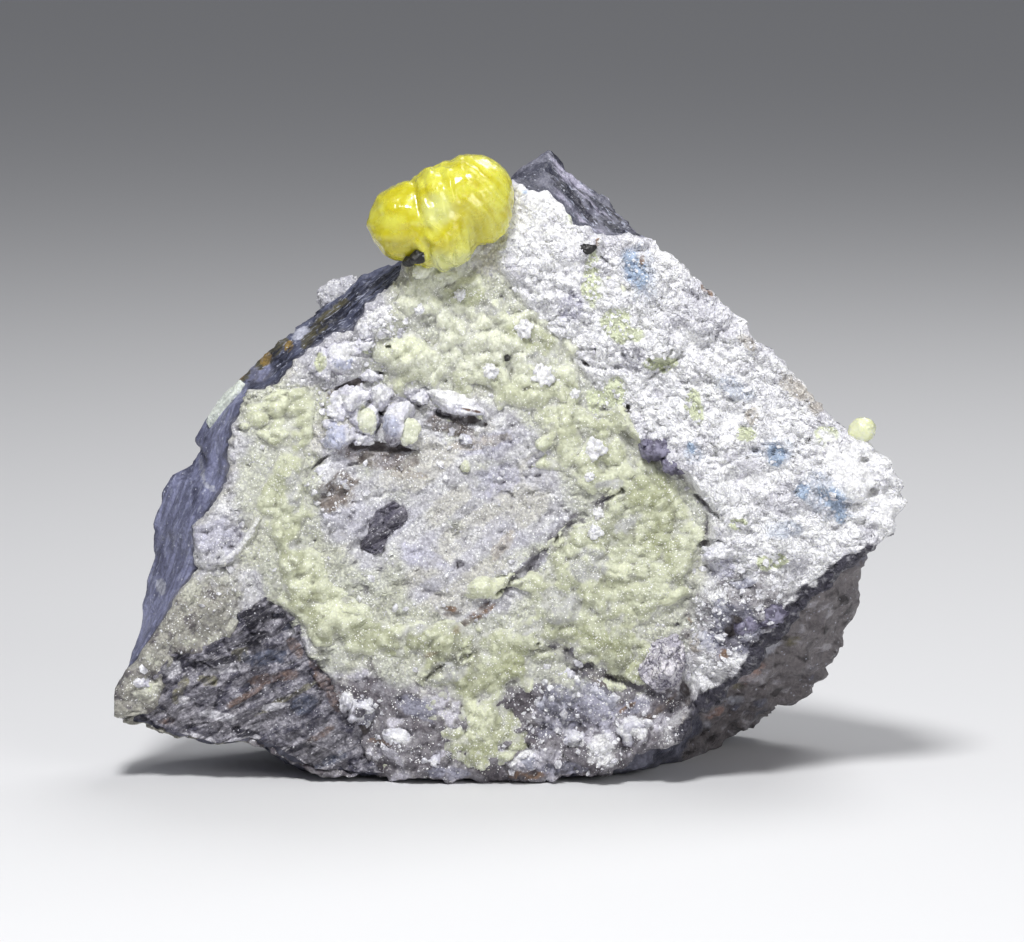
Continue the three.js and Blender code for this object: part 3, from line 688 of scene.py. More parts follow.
rockPoints, rockFaces = rockShell()
px, py, pz = rockPoints.T
rockAngle = np.arctan2(pz - hub[1], px - hub[0])
run = seamRun(rockAngle)
behindFace = py - rockFrontY(px, pz)
side = smooth(behindFace / 1.5)
turn = np.degrees(rockAngle) % 360 + 9 * noise(px / 7, py / 7, pz / 7) + 4 * noise(px / 2, py / 2, pz / 2)
slabStart = seam["back"] + 0.6
# the slab's colour ends raggedly on the sides and fades into the dark rock towards the back
straying = 12 * noise(px / 7, py / 7, pz / 7) + 8 * noise(px / 2.4, py / 2.4, pz / 2.4)
slabRun = seamRun(rockAngle + np.radians(straying) * smooth((behindFace - 4) / 4))
slabEnd = 1 - smooth((py - 10 + 8 * noise(px / 6, py / 6, pz / 6) + 4 * noise(px / 2, py / 2, pz / 2)) / 9)
rockMasks = {
    "slab": slabRun * slabEnd * smooth((behindFace - slabStart) / 1.4)
    * smooth((px - 8 + 0.5 * straying) / 8),
    "seamDark": run * side * (1 - smooth((behindFace - slabStart + 1.2 * noise(px / 2, py, pz / 2)) / 1.6)),
    "striped": side * smooth((turn - 98) / 10) * smooth((166 - turn) / 8)
    * (1 - smooth((py - 10 + 6 * noise(px / 6, py / 6, pz / 6)) / 12)),
    "polished": side * smooth((turn - 156) / 12) * smooth((215 - turn) / 12)
                * (1 - smooth((py - 6 + 7 * noise(px / 6, py / 6, pz / 6)) / 12)),
    "ochre": side * spots(px, pz, [(-34.6, 58, 1, 0.9, 40), (-31, 59.9, 1, 0.6, 40), (-38, 55.3, 1, 0.7, 40),
                                   (27.2, 69.4, 2, 0.6, -45)]),
    "olive": side * spots(px, pz,
                          [(-26, 63.2, 4.6, 1, 42), (-34, 58.6, 4, 1, 42), (-38.4, 54.6, 2.6, 1.1, 42)]),
    "pale": side * np.maximum(
        spots(px, pz, [(13, 81.6, 7.4, 0.9, -45), (-49, 26.4, 0.8, 1.3, 20), (-29.6, 61.4, 1.6, 0.6, 40)]),
        0.8 * np.maximum(stroke(px, pz, [(-44.7, 46.2), (-42.7, 41), (-40.1, 39.8)], 0.4),
                         stroke(px, pz, [(-44.4, 34.8), (-41.8, 38)], 0.4))),
    "pit": side * smooth(1.5 - np.hypot(px - rockPit["x"], pz - rockPit["z"] - 0.8) / 1.3) * (py < 3),
}
atPeak = side * smooth((px - 4) / 3) * smooth((pz - 66) / 4)
rockMasks["peaky"] = atPeak
downhill, uphill = 0.75 * px - 0.66 * pz, 0.66 * px + 0.75 * pz
veins = noise(downhill / 6, py / 3, uphill / 0.8 + 0.4 * noise(px / 3, py / 3, pz / 3))
# pale streaks on the peak: painted sheen
rockMasks["peakSheen"] = atPeak * smooth((veins - 0.12) / 0.3)
rockMasks["blackish"] = atPeak * smooth((-0.1 - veins) / 0.3)
grey = noise(px / 1.8, py / 1.8, pz / 1.8) + 0.7 * noise(px / 0.8, py / 0.8, pz / 0.8)
rockMasks["speckled"] = rockMasks["slab"] * smooth((grey - 0.25) / 0.4)
rockMasks["grimy"] = rockMasks["slab"] * smooth((-0.2 - grey) / 0.4)
rockMasks["streaky"] = (0.18 + 0.82 * rockMasks["striped"] - 0.3 * rockMasks["slab"] - rockMasks["polished"]
                        - atPeak)
rockMasks["streaky"] = np.clip(rockMasks["streaky"], 0, 1)
rockMasks["flowing"] = 0.5 * rockMasks["polished"]
slabSpots = {
    "pinkish": [(38, 21, 3, 2, 40), (34, 13, 2.4, 1.6, 40), (43, 27, 1.4, 1.4, 0), (29, 7, 1.6, 1, 30)],
    "whitish": [(45, 31, 1.6, 2.2, 0), (41.6, 24, 2, 1.2, 40), (37, 16.6, 1.8, 1, 30),
                (31.6, 8.6, 1.6, 1.2, 0), (27, 5, 1.6, 1, 0)],
    "dusty": [(40, 27.6, 1.6, 2, 30), (35, 19, 1.4, 1.4, 0), (39.6, 17, 1.4, 1, 0), (32, 11, 1, 1, 0)],
}
for name, patches in slabSpots.items():
    rockMasks[name] = rockMasks["slab"] * spots(px, pz, patches)
rockMasks["dim"] = rockMasks["polished"] * spots(px, pz, [(-46, 45, 4, 4, 0), (-50, 31, 1.6, 4, 15),
                                                          (-43.4, 38, 1.4, 3, 20)])
stoneLook = {
    "light": tone(126, 126, 140), "dark": tone(66, 67, 82), "clouds": 5, "grain": 0.6, "gap": 0.4,
    "shade": (0.42, 0.42, 0.48, 1), "bump": 0.16, "facet": 0.35, "tilt": 0.35, "share": 0.05, "rough": 0.45,
    "mirror": 0.2, "glint": tone(196, 198, 212), "bedding": 1.1, "streak": tone(34, 36, 52),
    "thread": tone(166, 170, 188), "ridges": 1.6,
    "beds": [((0.1, 0.63, 0), "streaky"), ((0.05, 1.27, 0), "flowing"), ((0.1, -0.8, 0), "peaky")],
    "flecks": 1.6, "fleck": 0.5,
}
stone = mineral("serpentinite", stoneLook, [
    ("polished", tone(140, 143, 174), 0.3, 1), ("striped", tone(88, 92, 114), 0.3, 1),
    ("olive", tone(92, 88, 68), 0.4, 0.9), ("ochre", tone(150, 124, 66), 0.4, 0.9),
    ("pale", tone(196, 198, 212), 0.35, 0.9),
    ("dim", tone(96, 98, 124), 0.3, 1.2), ("peakSheen", tone(178, 174, 194), 0.2, 1.1),
    ("blackish", tone(44, 42, 54), 0.2, 1.1),
    ("slab", tone(116, 110, 111), 0.2, 0.9),
    ("pinkish", tone(150, 124, 116), 0.3, 1), ("whitish", tone(168, 168, 176), 0.3, 1.1),
    ("dusty", tone(96, 90, 72), 0.3, 1.1), ("speckled", tone(160, 156, 160), 0.2, 1.2),
    ("grimy", tone(52, 46, 48), 0.2, 1.2), ("seamDark", tone(24, 23, 29), 0.3, 0.9),
    ("pit", tone(42, 44, 58), 0.4, 1),
])
makePiece("matrix_rock_surface", rockPoints, rockFaces, stone, "serpentinite", replaced=["matrix_rock"],
          **rockMasks)

print("granular crust")
# dark schist bared at the lower left, and a block of it set in the crust: outlines x, z
schistOutline = [
    (-34.2, 25.3), (-30.8, 22.9), (-28, 18), (-24.5, 13.2), (-22.4, 9.7), (-20.3, 4.8), (-18.6, 0.4),
    (-28, 1.4),
    (-32.4, 3.9), (-36.6, 5.6), (-41, 4.8), (-46, 5.9), (-53, 8.6), (-50.3, 10.6), (-48.2, 11.9),
    (-48.9, 14.6),
    (-46.4, 17.4), (-41.2, 18.5), (-38.6, 20.2), (-37.7, 22.9),
]
blockOutline = [
    (-16.1, 39.4), (-14.5, 38.3), (-14.2, 37.3), (-14.9, 36), (-17, 34.5), (-18, 32.1), (-19.1, 31.9),
    (-20.9, 32.7), (-20.7, 33.7), (-19.8, 34.9), (-19.6, 36.4), (-18.5, 38.3),
]
# hollows in the crust: x, z, half width, half height, turn, depth
hollows = [
    (-18.4, 46.6, 4.6, 0.7, -5, 1.8), (-7.4, 50.9, 3.6, 0.7, -15, 2), (-18.4, 51, 0.7, 2.8, -25, 2.2),
    (-21, 55.8, 3.4, 0.5, 20, 1.4), (-12.4, 53.4, 0.8, 1.8, -30, 2), (-16.8, 60.8, 0.6, 0.5, 0, 1.2),
    (10.3, 58.4, 0.7, 0.25, -45, 1.4), (27.4, 38.6, 2.6, 0.3, -42, 1), (-7.3, 30.5, 0.9, 0.6, 40, 1),
    (-26.6, 44.6, 1.4, 0.3, 40, 1), (-23.4, 40.2, 0.8, 0.8, 0, 0.8), (-22, 44.4, 1, 0.3, 10, 0.8),
    (48.9, 45, 0.7, 0.7, 0, 1.2), (50, 40.9, 0.7, 0.5, 30, 1.2),
    (-21, 7.4, 1.3, 0.7, 0, 1.2), (28, 33.8, 2.2, 0.6, 10, 0.9), (20.4, 57, 1.6, 0.35, 30, 1),
    (-37, 19.4, 3.6, 0.6, 8, 1), (9.8, 16.2, 0.8, 0.3, -40, 1), (13.6, 14.6, 1, 0.25, -22, 1),
    (16.2, 52, 0.3, 0.7, 10, 1), (30.8, 22.6, 1.2, 2.4, -20, 1.2),
    (24, 13, 0.8, 2.4, 20, 1.2), (3.6, 19.4, 0.9, 0.5, 0, 0.6), (-13.5, 34.2, 1.4, 0.5, 20, 0.5),
    (-15, 28, 2, 0.5, 10, 0.5), (-10, 26.4, 2.2, 0.5, -10, 0.5), (-21.5, 30.5, 1, 0.6, 0, 0.5),
]
# cracks across the crust: points x, z, with width and depth
cracks = [
    ([(15, 40.9), (12.6, 39.2), (10.6, 37.4), (8.6, 36.2), (6.4, 33.8), (4, 32), (1.6, 29.4), (-1, 27),
      (-3.4, 25)],
     0.22, 0.6),
    ([(-5.2, 18.4), (-7.6, 17.4), (-9.8, 16.4), (-11.4, 15.4), (-12.4, 14.6)], 0.2, 0.5),
    ([(3.4, 18.8), (7.6, 18.6), (9.6, 16.4), (13.4, 15.2), (16.6, 13.4)], 0.22, 0.55),
    ([(2, 38), (0, 35), (-1.6, 32.4)], 0.3, 0.2),
    ([(15.7, 59.9), (18, 58.6), (20, 57), (21.4, 57.8), (22.8, 60.2)], 0.3, 0.7),
    ([(26, 48.6), (28.4, 46.6), (31, 46.4), (35, 47.2), (39, 45.6)], 0.3, 0.6),
    ([(29.4, 42.8), (31.2, 42.4), (34, 43.9)], 0.3, 0.6), ([(33, 36), (36, 37.6), (40, 36.4)], 0.3, 0.5),
    ([(28, 30), (31, 31.4), (34.4, 30.6), (38, 33)], 0.35, 0.6),
]


# soft dirt along the cracks, broken up
def crackDirt(x, z):
    dirt = np.max([stroke(x, z, run, 1.1) for run, _, _ in cracks[:3]], axis=0)
    return dirt * smooth(0.6 + 1.4 * noise(x / 1.5, 64, z / 1.5) + 0.8 * noise(x / 0.6, 65, z / 0.6))


# relief over a run of lumps grown into the crust: x, z, half width, half height, how far out, turn
groundLumps = [
    (20.4, 60.8, 4.6, 2.2, 1.6, -12), (27, 63.5, 6, 3.2, 1.3, -40), (36, 33.2, 5.6, 2.6, 1.6, -8),
    (33, 25.6, 5.2, 3.4, 2, 36), (46, 42.8, 4.2, 3, 1.8, -30), (12.4, 4, 3.6, 3, 2, 0),
    (4.6, 4.6, 4, 2.6, 1.6, 10),
    (7.2, 13, 2.8, 2.4, 1.6, 30), (12, 11.6, 3, 2.6, 1.6, -20), (17.6, 7.8, 1.8, 1.9, 1.8, 20),
    (-17.8, 63.8, 3.4, 2.8, 1.2, 20), (-23.4, 58.6, 4, 2.6, 1, 10), (-23.6, 49, 2.8, 2.6, 1.4, 0),
    (-25.6, 42.6, 3.4, 2, 1.4, 30), (-24.4, 37.6, 1.8, 1.9, 1.4, 0), (-15.6, 5, 3, 2.2, 1.4, -10),
    (6.2, 11, 2, 1.8, 1.8, 0), (1.6, 3.2, 2.4, 1.6, 1.6, 20), (31.4, 37.4, 2.4, 1.6, 1.5, 0),
    (29.4, 17.6, 3.2, 1.6, 1.3, 45), (26.2, 27.4, 1.9, 2.6, 1.2, 10),
]


paleRidge = [(-35, 37.2), (-36.4, 34.6), (-38, 32.6), (-40, 31)]


# how far the lumps lift the crust: the upper part of each ellipsoid, its edge roughened
def lumpRise(x, z):
    rise = np.zeros(x.shape)
    for px, pz, rx, rz, out, turn in groundLumps:
        within = 1 - ellipse(x, z, (px, pz, rx, rz, turn)) - 0.35 * noise(x / 1.6 + px, 55, z / 1.6)
        rise = np.maximum(rise, out * (np.sqrt(np.maximum(within, 0)) * 1.1 - 0.25))
    return rise


# smooth snow-white powder near the peak and at the right end: x, z, half width, half height, turn
powder = [(3.6, 79.4, 4.4, 4, -30), (8, 76.5, 3, 2.4, -40), (47.6, 43.6, 4.4, 3.6, -40),
          (50.6, 40, 3, 2.4, -40),
          (44.4, 46.6, 3, 2.4, -40), (30, 50.6, 2, 1, 30), (24.6, 62, 2, 1.2, -30), (33.6, 42.6, 2.4, 1, 20),
          (8.4, 71, 1.6, 2, 0)]
# smooth pads of pale green in the white field
pads = [(14.2, 54.4, 1.8, 2.2, 0), (11.3, 69.6, 1.4, 3.8, 0), (14.6, 64.4, 2.4, 1.8, 20),
        (11.4, 53, 1.2, 2, 0)]


# how deep the hollows and cracks cut into the crust, their edges ragged
def cutDepth(x, z):
    rag = 0.6 * noise(x / 0.8, 51, z / 0.8) + 0.5 * noise(x / 1.9, 52, z / 1.9)
    bent = x + 0.5 * noise(x / 1.1, 63, z / 1.1)
    cut = sum(hollow[5] * smooth((1.3 - ellipse(x, z, hollow) - rag) / 0.8) for hollow in hollows)
    for run, width, depth in cracks:
        far, _ = lineDistance(bent, z, run)
        ragged = far / width + 1.1 * noise(x / 0.9, 61, z / 0.9) + 3 * noise(x / 1.6, 62, z / 1.6)
        cut = cut + depth * smooth((1.6 - ragged) / 0.9)
    return cut


crumbly = (29.4, 21.6, 5, 7.4, -38)  # broken corner at the lower right


# relief of the crust over its even thickness: ledges, crumpled foil and crumbs on the white field, sugary
# grains and swells elsewhere, lumps, less the hollows and cracks
def crustRelief(x, z):
    field = fieldMask(x, z)
    along, across = 0.76 * x - 0.65 * z, 0.65 * x + 0.76 * z
    ledges = 0.8 * plates(across / 7.5 + 0.8 * noise(x / 6, 21, z / 6) + 0.2 * noise(x / 2, 22, z / 2), 0.22)
    foil = 0.6 * crumpled(along / 3.6, across / 2.6, 3) + 0.8 * crumpled(x / 1.4, z / 1.3, 5)
    slivers = 0.45 * facets(along / 2.6, across / 1.2, 9) + 0.15 * facets(x / 0.9, z / 0.9, 8)
    out = field * (ledges + foil + slivers - 0.7) * (1 - 0.75 * spots(x, z, powder + pads))
    broken = smooth((-34 - x) / 6) + smooth((15 - z) / 6) + 0.6 * smooth(noise(x / 8, 16, z / 8) * 2)
    broken = broken + 1.6 * spots(x, z, [crumbly])
    crumbled = 0.5 * crumpled(x / 2.2, z / 1.9, 14) + 0.3 * facets(x / 1.1, z / 1.1, 17)
    crumbled = crumbled + 0.5 * smooth((16 - z) / 5) * (crumpled(x / 4.4, z / 3.2, 15) - 0.4)
    sugar = 0.25 * fractal(x / 3, 31, z / 3) + 0.22 * grains(x / 1.1, z / 1.1, 12)
    pits = smooth((noise(x / 1.3, 140, z / 1.3) + 0.5 * noise(x / 0.7, 141, z / 0.7) - 0.45) / 0.3)
    out = out + (1 - field) * (sugar - 0.45 * pits + crumbled * (0.3 + np.minimum(broken, 2)))
    out = out + lumpRise(x, z) + 0.9 * stroke(x, z, paleRidge, 0.5)
    return out - cutDepth(x, z)


# distance in from the rim, a little ragged
def rimInset(x, z):
    rim = outlineAt(rimOutline, np.arctan2(z - hub[1], x - hub[0]))
    far = np.hypot(rim[:, 0] - hub[0], rim[:, 2] - hub[1]) - np.hypot(x - hub[0], z - hub[1])
    return far + 0.9 * noise(x / 2, 43, z / 2) + 0.5 * noise(x, 44, z)


# 1 inside the two dark outlines where the crust is open over them
def opened(x, z):
    gap = np.zeros(x.shape)
    for outline, rough in ((schistOutline, 1), (blockOutline, 0.4)):
        ragged = rough * (0.7 * noise(x / 2, 70, z / 2) + 0.5 * noise(x / 0.9, 71, z / 0.9))
        gap = np.maximum(gap, smooth((inside(x, z, outline) + ragged * 0.8 - 0.6 * (1 - rough)) / 0.9 + 0.3))
    return gap


# how far behind the rock's face a surface is sunk to hide it, less where the rim is near
def tuckedIn(x, z):
    return np.clip(0.3 + 0.3 * rimInset(x, z), 0.3, 1.4)


# front of the crust, thin about the dark outlines and opened over them
def crustFrontY(x, z):
    dark = np.maximum(inside(x, z, schistOutline), inside(x, z, blockOutline) - 1)
    thin = 0.55 + 0.45 * smooth((-dark - 0.5) / 4)
    floor = 0.5 + 0.35 * noise(x / 0.9, 75, z / 0.9) + 0.3 * noise(x / 2.1, 76, z / 2.1)
    depth = np.maximum(crustBase(x, z) * thin + crustRelief(x, z), floor)
    gap = opened(x, z)
    return rockFrontY(x, z) - depth * (1 - gap) + gap * tuckedIn(x, z)


crustGrid = {"cells": 290, "edge": 0.968, "edgeDrop": 1.2}


# the crust's shell: its face turned down at the rim, a rough wall back to the rock, and three rings and a
# point to close it behind
def crustShell():
    angle, reach = discGrid(crustGrid["cells"])
    x, z = faceGrid(angle, reach)
    over = np.clip((reach - crustGrid["edge"]) / (1 - crustGrid["edge"]), 0, 1)
    y = crustFrontY(x, z) + crustGrid["edgeDrop"] * (1 - np.sqrt(1 - over**2 * 0.999))
    front = np.stack([x, y, z], -1)
    edge = discEdge(crustGrid["cells"])
    rim, way = front[edge], np.stack([np.cos(angle[edge]), 0 * angle[edge], np.sin(angle[edge])], -1)
    foot = rockFrontY(rim[:, 0], rim[:, 2]) + 0.35
    rings = []
    for share in (0.25, 0.5, 0.75, 1):
        ring = rim.copy()
        ring[:, 1] = rim[:, 1] + (foot - rim[:, 1]) * share
        rough = 0.8 * crumpled(angle[edge] * 22, ring[:, 1] / 1.2, 19) - 0.35 - 0.5 * share
        rings.append(ring + way * rough[:, None])
    for shrink, back in ((0.9, 0.4), (0.75, 0.9), (0.4, 3)):
        ring = rim.copy()
        ring[:, [0, 2]] = hub + (ring[:, [0, 2]] - hub) * shrink
        ring[:, 1] = rockFrontY(ring[:, 0], ring[:, 2]) + back
        rings.append(ring)
    middle = np.array([[hub[0], rockFrontY(hub[0], hub[1]) + 3.6, hub[1]]], float)
    return shell(crustGrid["cells"], front, rings, middle)


# mean over a square of grid cells around each one
def blurred(grid, reach):
    weights = np.ones(2 * reach + 1) / (2 * reach + 1)
    for axis in (0, 1):
        grid = np.apply_along_axis(lambda row: np.convolve(np.pad(row, reach, "edge"), weights, "valid"),
                                   axis, grid)
    return grid


# how far each point of a disc grid stands out of its neighbourhood, 0.5 where level
def standing(y, cells, reach, spread):
    grid = y[:(cells + 1) ** 2].reshape(cells + 1, cells + 1)
    level = np.full(len(y), 0.5)
    level[:(cells + 1) ** 2] = np.clip(0.5 + (blurred(grid, reach) - grid) / spread, 0, 1).ravel()
    return level


stains = {
    "green": [
        *pads, (8.4, 78, 1.2, 1.4, -30), (15.5, 62.5, 2.5, 1.1, 0), (25.3, 52.8, 1.2, 2.3, 20),
        (32.6, 49, 1.3, 1, 0),
        (20.7, 58.4, 2.4, 1, 0), (43.7, 48.3, 1.8, 1.6, 0), (35.8, 31.6, 2.2, 1.2, 0),
        (31.6, 36.8, 1.4, 0.9, 0), (-19.6, 60.6, 2, 0.8, 0),
    ],
    "sky": [(43.4, 40.8, 4.6, 2.8, -30), (17.6, 71, 2.2, 4, 15), (36.4, 46.6, 3, 2, 0),
            (25.4, 46.6, 1.4, 1.4, 0),
            (31, 55, 3, 1.6, -30), (38, 36, 3, 1.2, 0)],
    "blue": [(17.3, 71.4, 1.3, 2.6, 20), (18.2, 70.5, 0.8, 1.2, 0), (24.9, 47.1, 0.5, 0.9, 30),
             (36.5, 46.4, 1.3, 1.7, 0),
             (44.4, 40.2, 2.3, 1.7, -30), (45.5, 38.2, 0.8, 1.6, 0), (40.2, 41.1, 1.2, 1.2, 0),
             (1.9, 82.1, 0.6, 0.4, 0)],
    "rusty": [
        (12, 75.3, 0.4, 0.6, 0), (18.1, 73.1, 0.5, 0.8, 0), (27, 68.6, 1.7, 0.5, -42),
        (24.9, 22.6, 0.6, 1, 0),
        (-4, 24.2, 2.2, 0.8, 30), (-8.6, 24.4, 1.2, 0.6, 0), (50.1, 40.8, 0.5, 0.5, 0),
        (16, 10.6, 1.6, 0.4, 30),
        (2.6, 1.4, 3.4, 0.8, 0), (-18.6, 6, 1.6, 0.5, 0), (-26.6, 28.6, 1, 1, 0), (-50.6, 20, 0.6, 0.5, 0),
        (29.6, 18.6, 0.8, 0.8, 0),
    ],
    "tan": [
        (42, 53.2, 2, 1.6, -45), (39.2, 55, 2.6, 1.3, -45), (33, 61, 2, 0.8, -45), (33.4, 51.4, 1, 1.4, 0),
        (37.2, 57.2, 0.7, 0.4, -45), (-1, 33.4, 0.9, 3, -38),
        (-5, 47.4, 5, 1, 10), (-14, 43, 3, 0.6, 0), (27, 11.6, 4, 1.2, 42), (26, 20, 1.6, 1.4, 0),
        (-24, 40.4, 3, 2.4, 30),
    ],
    "darker": [
        (36, 23.2, 2.6, 1.6, -20), (9.4, 15.2, 2.4, 0.7, -20), (10, 9.2, 2.2, 0.7, -30),
        (-20.9, 9.2, 0.9, 0.8, 0), (30.6, 20.6, 1.4, 1.6, 30), (32, 28.2, 1.8, 0.6, 0), (20.4, 13, 1, 3, 30),
        (-29, 29, 0.7, 1.8, -20), (13, 27.6, 0.9, 0.6, 0), (16.2, 52.4, 0.4, 1, 20), (4, 9.6, 1.6, 0.5, 20),
    ],
    # brown dirt along the cracks, and painted shadow under the lump cluster and the flake
    "umberAndShadow": [(-18, 45.4, 6, 1.6, -5), (-8, 49.6, 4, 1.4, -15), (-24.6, 40.6, 3, 2.4, 30),
              (-5.6, 22.8, 3, 0.7, 30),
              (-8.4, 23.8, 1.4, 0.5, 0), (13, 14.4, 4, 1, -25), (-28.4, 31, 1, 2, -20),
              (21, 10.8, 4, 0.6, 40),
              (-12.6, 61.4, 1.6, 0.6, 0), (-23, 54.8, 3, 0.6, 20)],
    "lilac": [(-2, 42, 4, 2.4, 20), (-12, 31.6, 4, 1.6, -20), (-4, 47.4, 5, 1.6, 10), (3.5, 31, 2.2, 0.9, 30),
              (-41, 34, 3.4, 3.6, 30), (5, 77, 1.8, 1, 0), (8, 50.4, 3, 1.4, 20), (12, 10, 3.4, 2.6, 0),
              (29, 30.6, 2, 1.6, 0), (8.5, 66, 2, 2, 0)],
    "slaty": [(6.4, 11.4, 3, 2.6, 0), (12, 12, 3.6, 2.2, -20), (-20.9, 10, 2.4, 2, 0), (31, 22, 4, 4, 40),
              (-9, 1.6, 3, 1, 0),
              (7, 8.4, 5, 1.4, 20), (-13, 10.6, 3, 1.4, -20), (17.4, 11, 2, 1, 20), (6, 2, 5, 1, 5)],
    "whiter": powder + [(-15.7, 6.8, 2.2, 1, -10), (16.7, 7.8, 1.6, 1.2, 0), (1.6, 4, 1.6, 0.6, 20),
                        (-22.6, 11.6, 0.8, 1.4, 0),
                        (9, 6, 1.2, 0.8, 0), (28.6, 26.6, 1.4, 1.4, 0), (24.6, 15, 1, 2, 20),
                        (12.6, 4.6, 2.4, 2.2, 0), (17.6, 8, 1.2, 1.3, 0), (-2, 28.5, 1.4, 0.6, -20),
                        (28.4, 36.8, 1.2, 0.7, 0),  (-4.4, 49.6, 0.9, 0.8, 0),
                        (3, 27.4, 1.6, 1, 20), (-24, 59.4, 3, 1.6, 10)],
}

crustPoints, crustFaces = crustShell()
px, py, pz = crustPoints.T
crustMasks = {name: spots(px, pz, patches) for name, patches in stains.items()}
field = fieldMask(px, pz)
along, across = 0.8 * px + 0.6 * pz, 0.8 * pz - 0.6 * px
crustMasks["field"] = field * (0.5 + 0.5 * smooth((pz - 22 + 6 * noise(px / 5, 18, pz / 5)) / 12))
crustMasks["dull"] = field * smooth(0.1 + 1.6 * noise(px / 5.5, 23, pz / 5) + 0.8 * noise(px / 2, 24, pz / 2))
crustMasks["foil"] = np.maximum(field * (1 - 0.7 * spots(px, pz, powder)), 0.9 * spots(px, pz, [crumbly]))
crustMasks["dirt"] = crackDirt(px, pz)
crustMasks["olivine"] = smooth((-34 - px) / 6) * smooth((32 - pz) / 6)
crustMasks["halo"] = (1 - field) * smooth((druseStrength(px, pz) + 0.35 * noise(px / 4, 135, pz / 4)) * 2.2)
crustMasks["warm"] = (1 - field) * smooth(0.45 + 1.3 * noise(along / 8, 19, across / 2.6))
crustMasks["cool"] = (1 - field) * smooth(0.3 + 1.5 * noise(along / 5, 20, across / 1.9))
# painted shade: darker where the crust lies below its neighbourhood, less so on the white field
crustMasks["low"] = np.clip(1 - 2 * standing(crustFrontY(px, pz), crustGrid["cells"], 3, 1.1), 0,
                            1) * (1 - 0.55 * field)
mottle = noise(px / 2.6, 25, pz / 2.2) + 0.6 * noise(px / 1.1, 26, pz / 1.1)
# the crust's lower band, outside the white field and the olivine
base = (1 - field) * smooth((17 - pz + 3 * noise(px / 4, 27, pz / 4)) / 5) * (1 - crustMasks["olivine"])
crustMasks["mossy"] = crustMasks["olivine"] * smooth((mottle - 0.1) / 0.4)
crustMasks["sooty"] = np.maximum(0.7 * crustMasks["olivine"], base) * smooth((-0.22 - mottle) / 0.35)
crustMasks["milky"] = base * smooth((mottle - 0.2) / 0.35)
# painted shade: the lower band darker wherever it is not milky
crustMasks["lowBandShade"] = base * (1 - crustMasks["milky"])
# brown-grey paint in the hollows and deeper cracks: partly their dirt, partly painted shade
crustMasks["deep"] = smooth((cutDepth(px, pz) - 0.4) / 0.9)
# painted shade: darker towards the bottom, and over the crumbly corner at the lower right
crustMasks["lowerShade"] = smooth((21 - pz + 5 * noise(px / 5, 37, pz / 5))
                             / 16) + 0.9 * spots(px, pz, [(31, 24, 8, 5, 40)])
crustMasks["rim"] = smooth(1.6 * seamRun(np.arctan2(pz - hub[1], px - hub[0])) - 0.4
                           + 0.5 * noise(px / 3, py / 3, pz / 3))
crustMasks["rim"] = crustMasks["rim"] * smooth((2.6 - rimInset(px, pz)) / 0.9)
crustMasks["matte"] = np.clip(crustMasks["rim"] + crustMasks["deep"], 0, 1)
crustMasks["whiter"] = np.maximum(crustMasks["whiter"], 0.9 * stroke(px, pz, paleRidge, 0.4))
crustLook = {
    "light": tone(238, 238, 238), "dark": tone(200, 199, 203), "clouds": 2.2, "grain": 0.4, "gap": 0.6,
    "shade": (0.42, 0.41, 0.45, 1), "bump": 0.13, "facet": 0.24, "tilt": 0.6, "share": 0.15, "rough": 0.6,
    "mirror": 0.12, "glint": tone(255, 255, 255), "glintPaint": 0.9, "haze": 0.15, "hazeReach": 0.4,
    "crinkle": 0.72, "folds": 1.5, "crease": 0.6, "flecks": 0.8, "fleck": 0.5,
}
crustMaterial = mineral("granular crust", crustLook, [
    ("warm", tone(212, 210, 200), 0.2, 1.3), ("cool", tone(204, 203, 214), 0.3, 1.4),
    ("halo", tone(206, 209, 184), 0.1, 1.5), ("field", tone(253, 253, 254), 0, 0.8),
    ("dull", tone(222, 221, 228), 0.3, 1.3),
    ("lowerShade", tone(150, 146, 150), 0.1, 1.2), ("lowBandShade", tone(128, 124, 130), 0.2, 1.2),
    ("olivine", tone(176, 174, 162), 0.1, 1.1), ("mossy", tone(206, 206, 190), 0.2, 1.1),
    ("sooty", tone(98, 92, 98), 0.2, 1.1), ("milky", tone(214, 211, 220), 0.2, 1.1),
    ("slaty", tone(148, 148, 163), 0.2, 1.2), ("lilac", tone(206, 205, 222), 0.2, 1.5),
    ("tan", tone(190, 182, 170), 0.3, 1.4),
    ("green", tone(220, 226, 192), 0.2, 0.9), ("sky", tone(214, 220, 232), 0.1, 1.3),
    ("blue", tone(176, 194, 218), 0.2, 1),
    ("umberAndShadow", tone(116, 104, 97), 0.3, 1.4), ("dirt", tone(112, 109, 116), 0.1, 1.3),
    ("rusty", tone(140, 114, 94), 0.5, 1.2), ("darker", tone(104, 101, 110), 0.5, 1.2),
    # painted shade in the low places, and in the hollows along with their brown dirt
    ("low", tone(124, 121, 128), 0.3, 1.3), ("deep", tone(108, 101, 99), 0.3, 1.2),
    ("whiter", tone(253, 253, 252), 0.4, 1.1), ("rim", tone(62, 60, 72), 0.3, 1),
])
makePiece("crust_surface", crustPoints, crustFaces, crustMaterial, "granular_crust",
          replaced=["granular_crust"], **crustMasks)


# point of a plane drawn in to the rock's front face where it falls outside the rim
def keptOnFace(x, z, share=0.985):
    angle = np.arctan2(z - hub[1], x - hub[0])
    rim = outlineAt(rimOutline, angle)
    limit = share * np.hypot(rim[:, 0] - hub[0], rim[:, 2] - hub[1])
    shrink = np.minimum(1, limit / np.maximum(np.hypot(x - hub[0], z - hub[1]), 0.01))
    return hub[0] + (x - hub[0]) * shrink, hub[1] + (z - hub[1]) * shrink


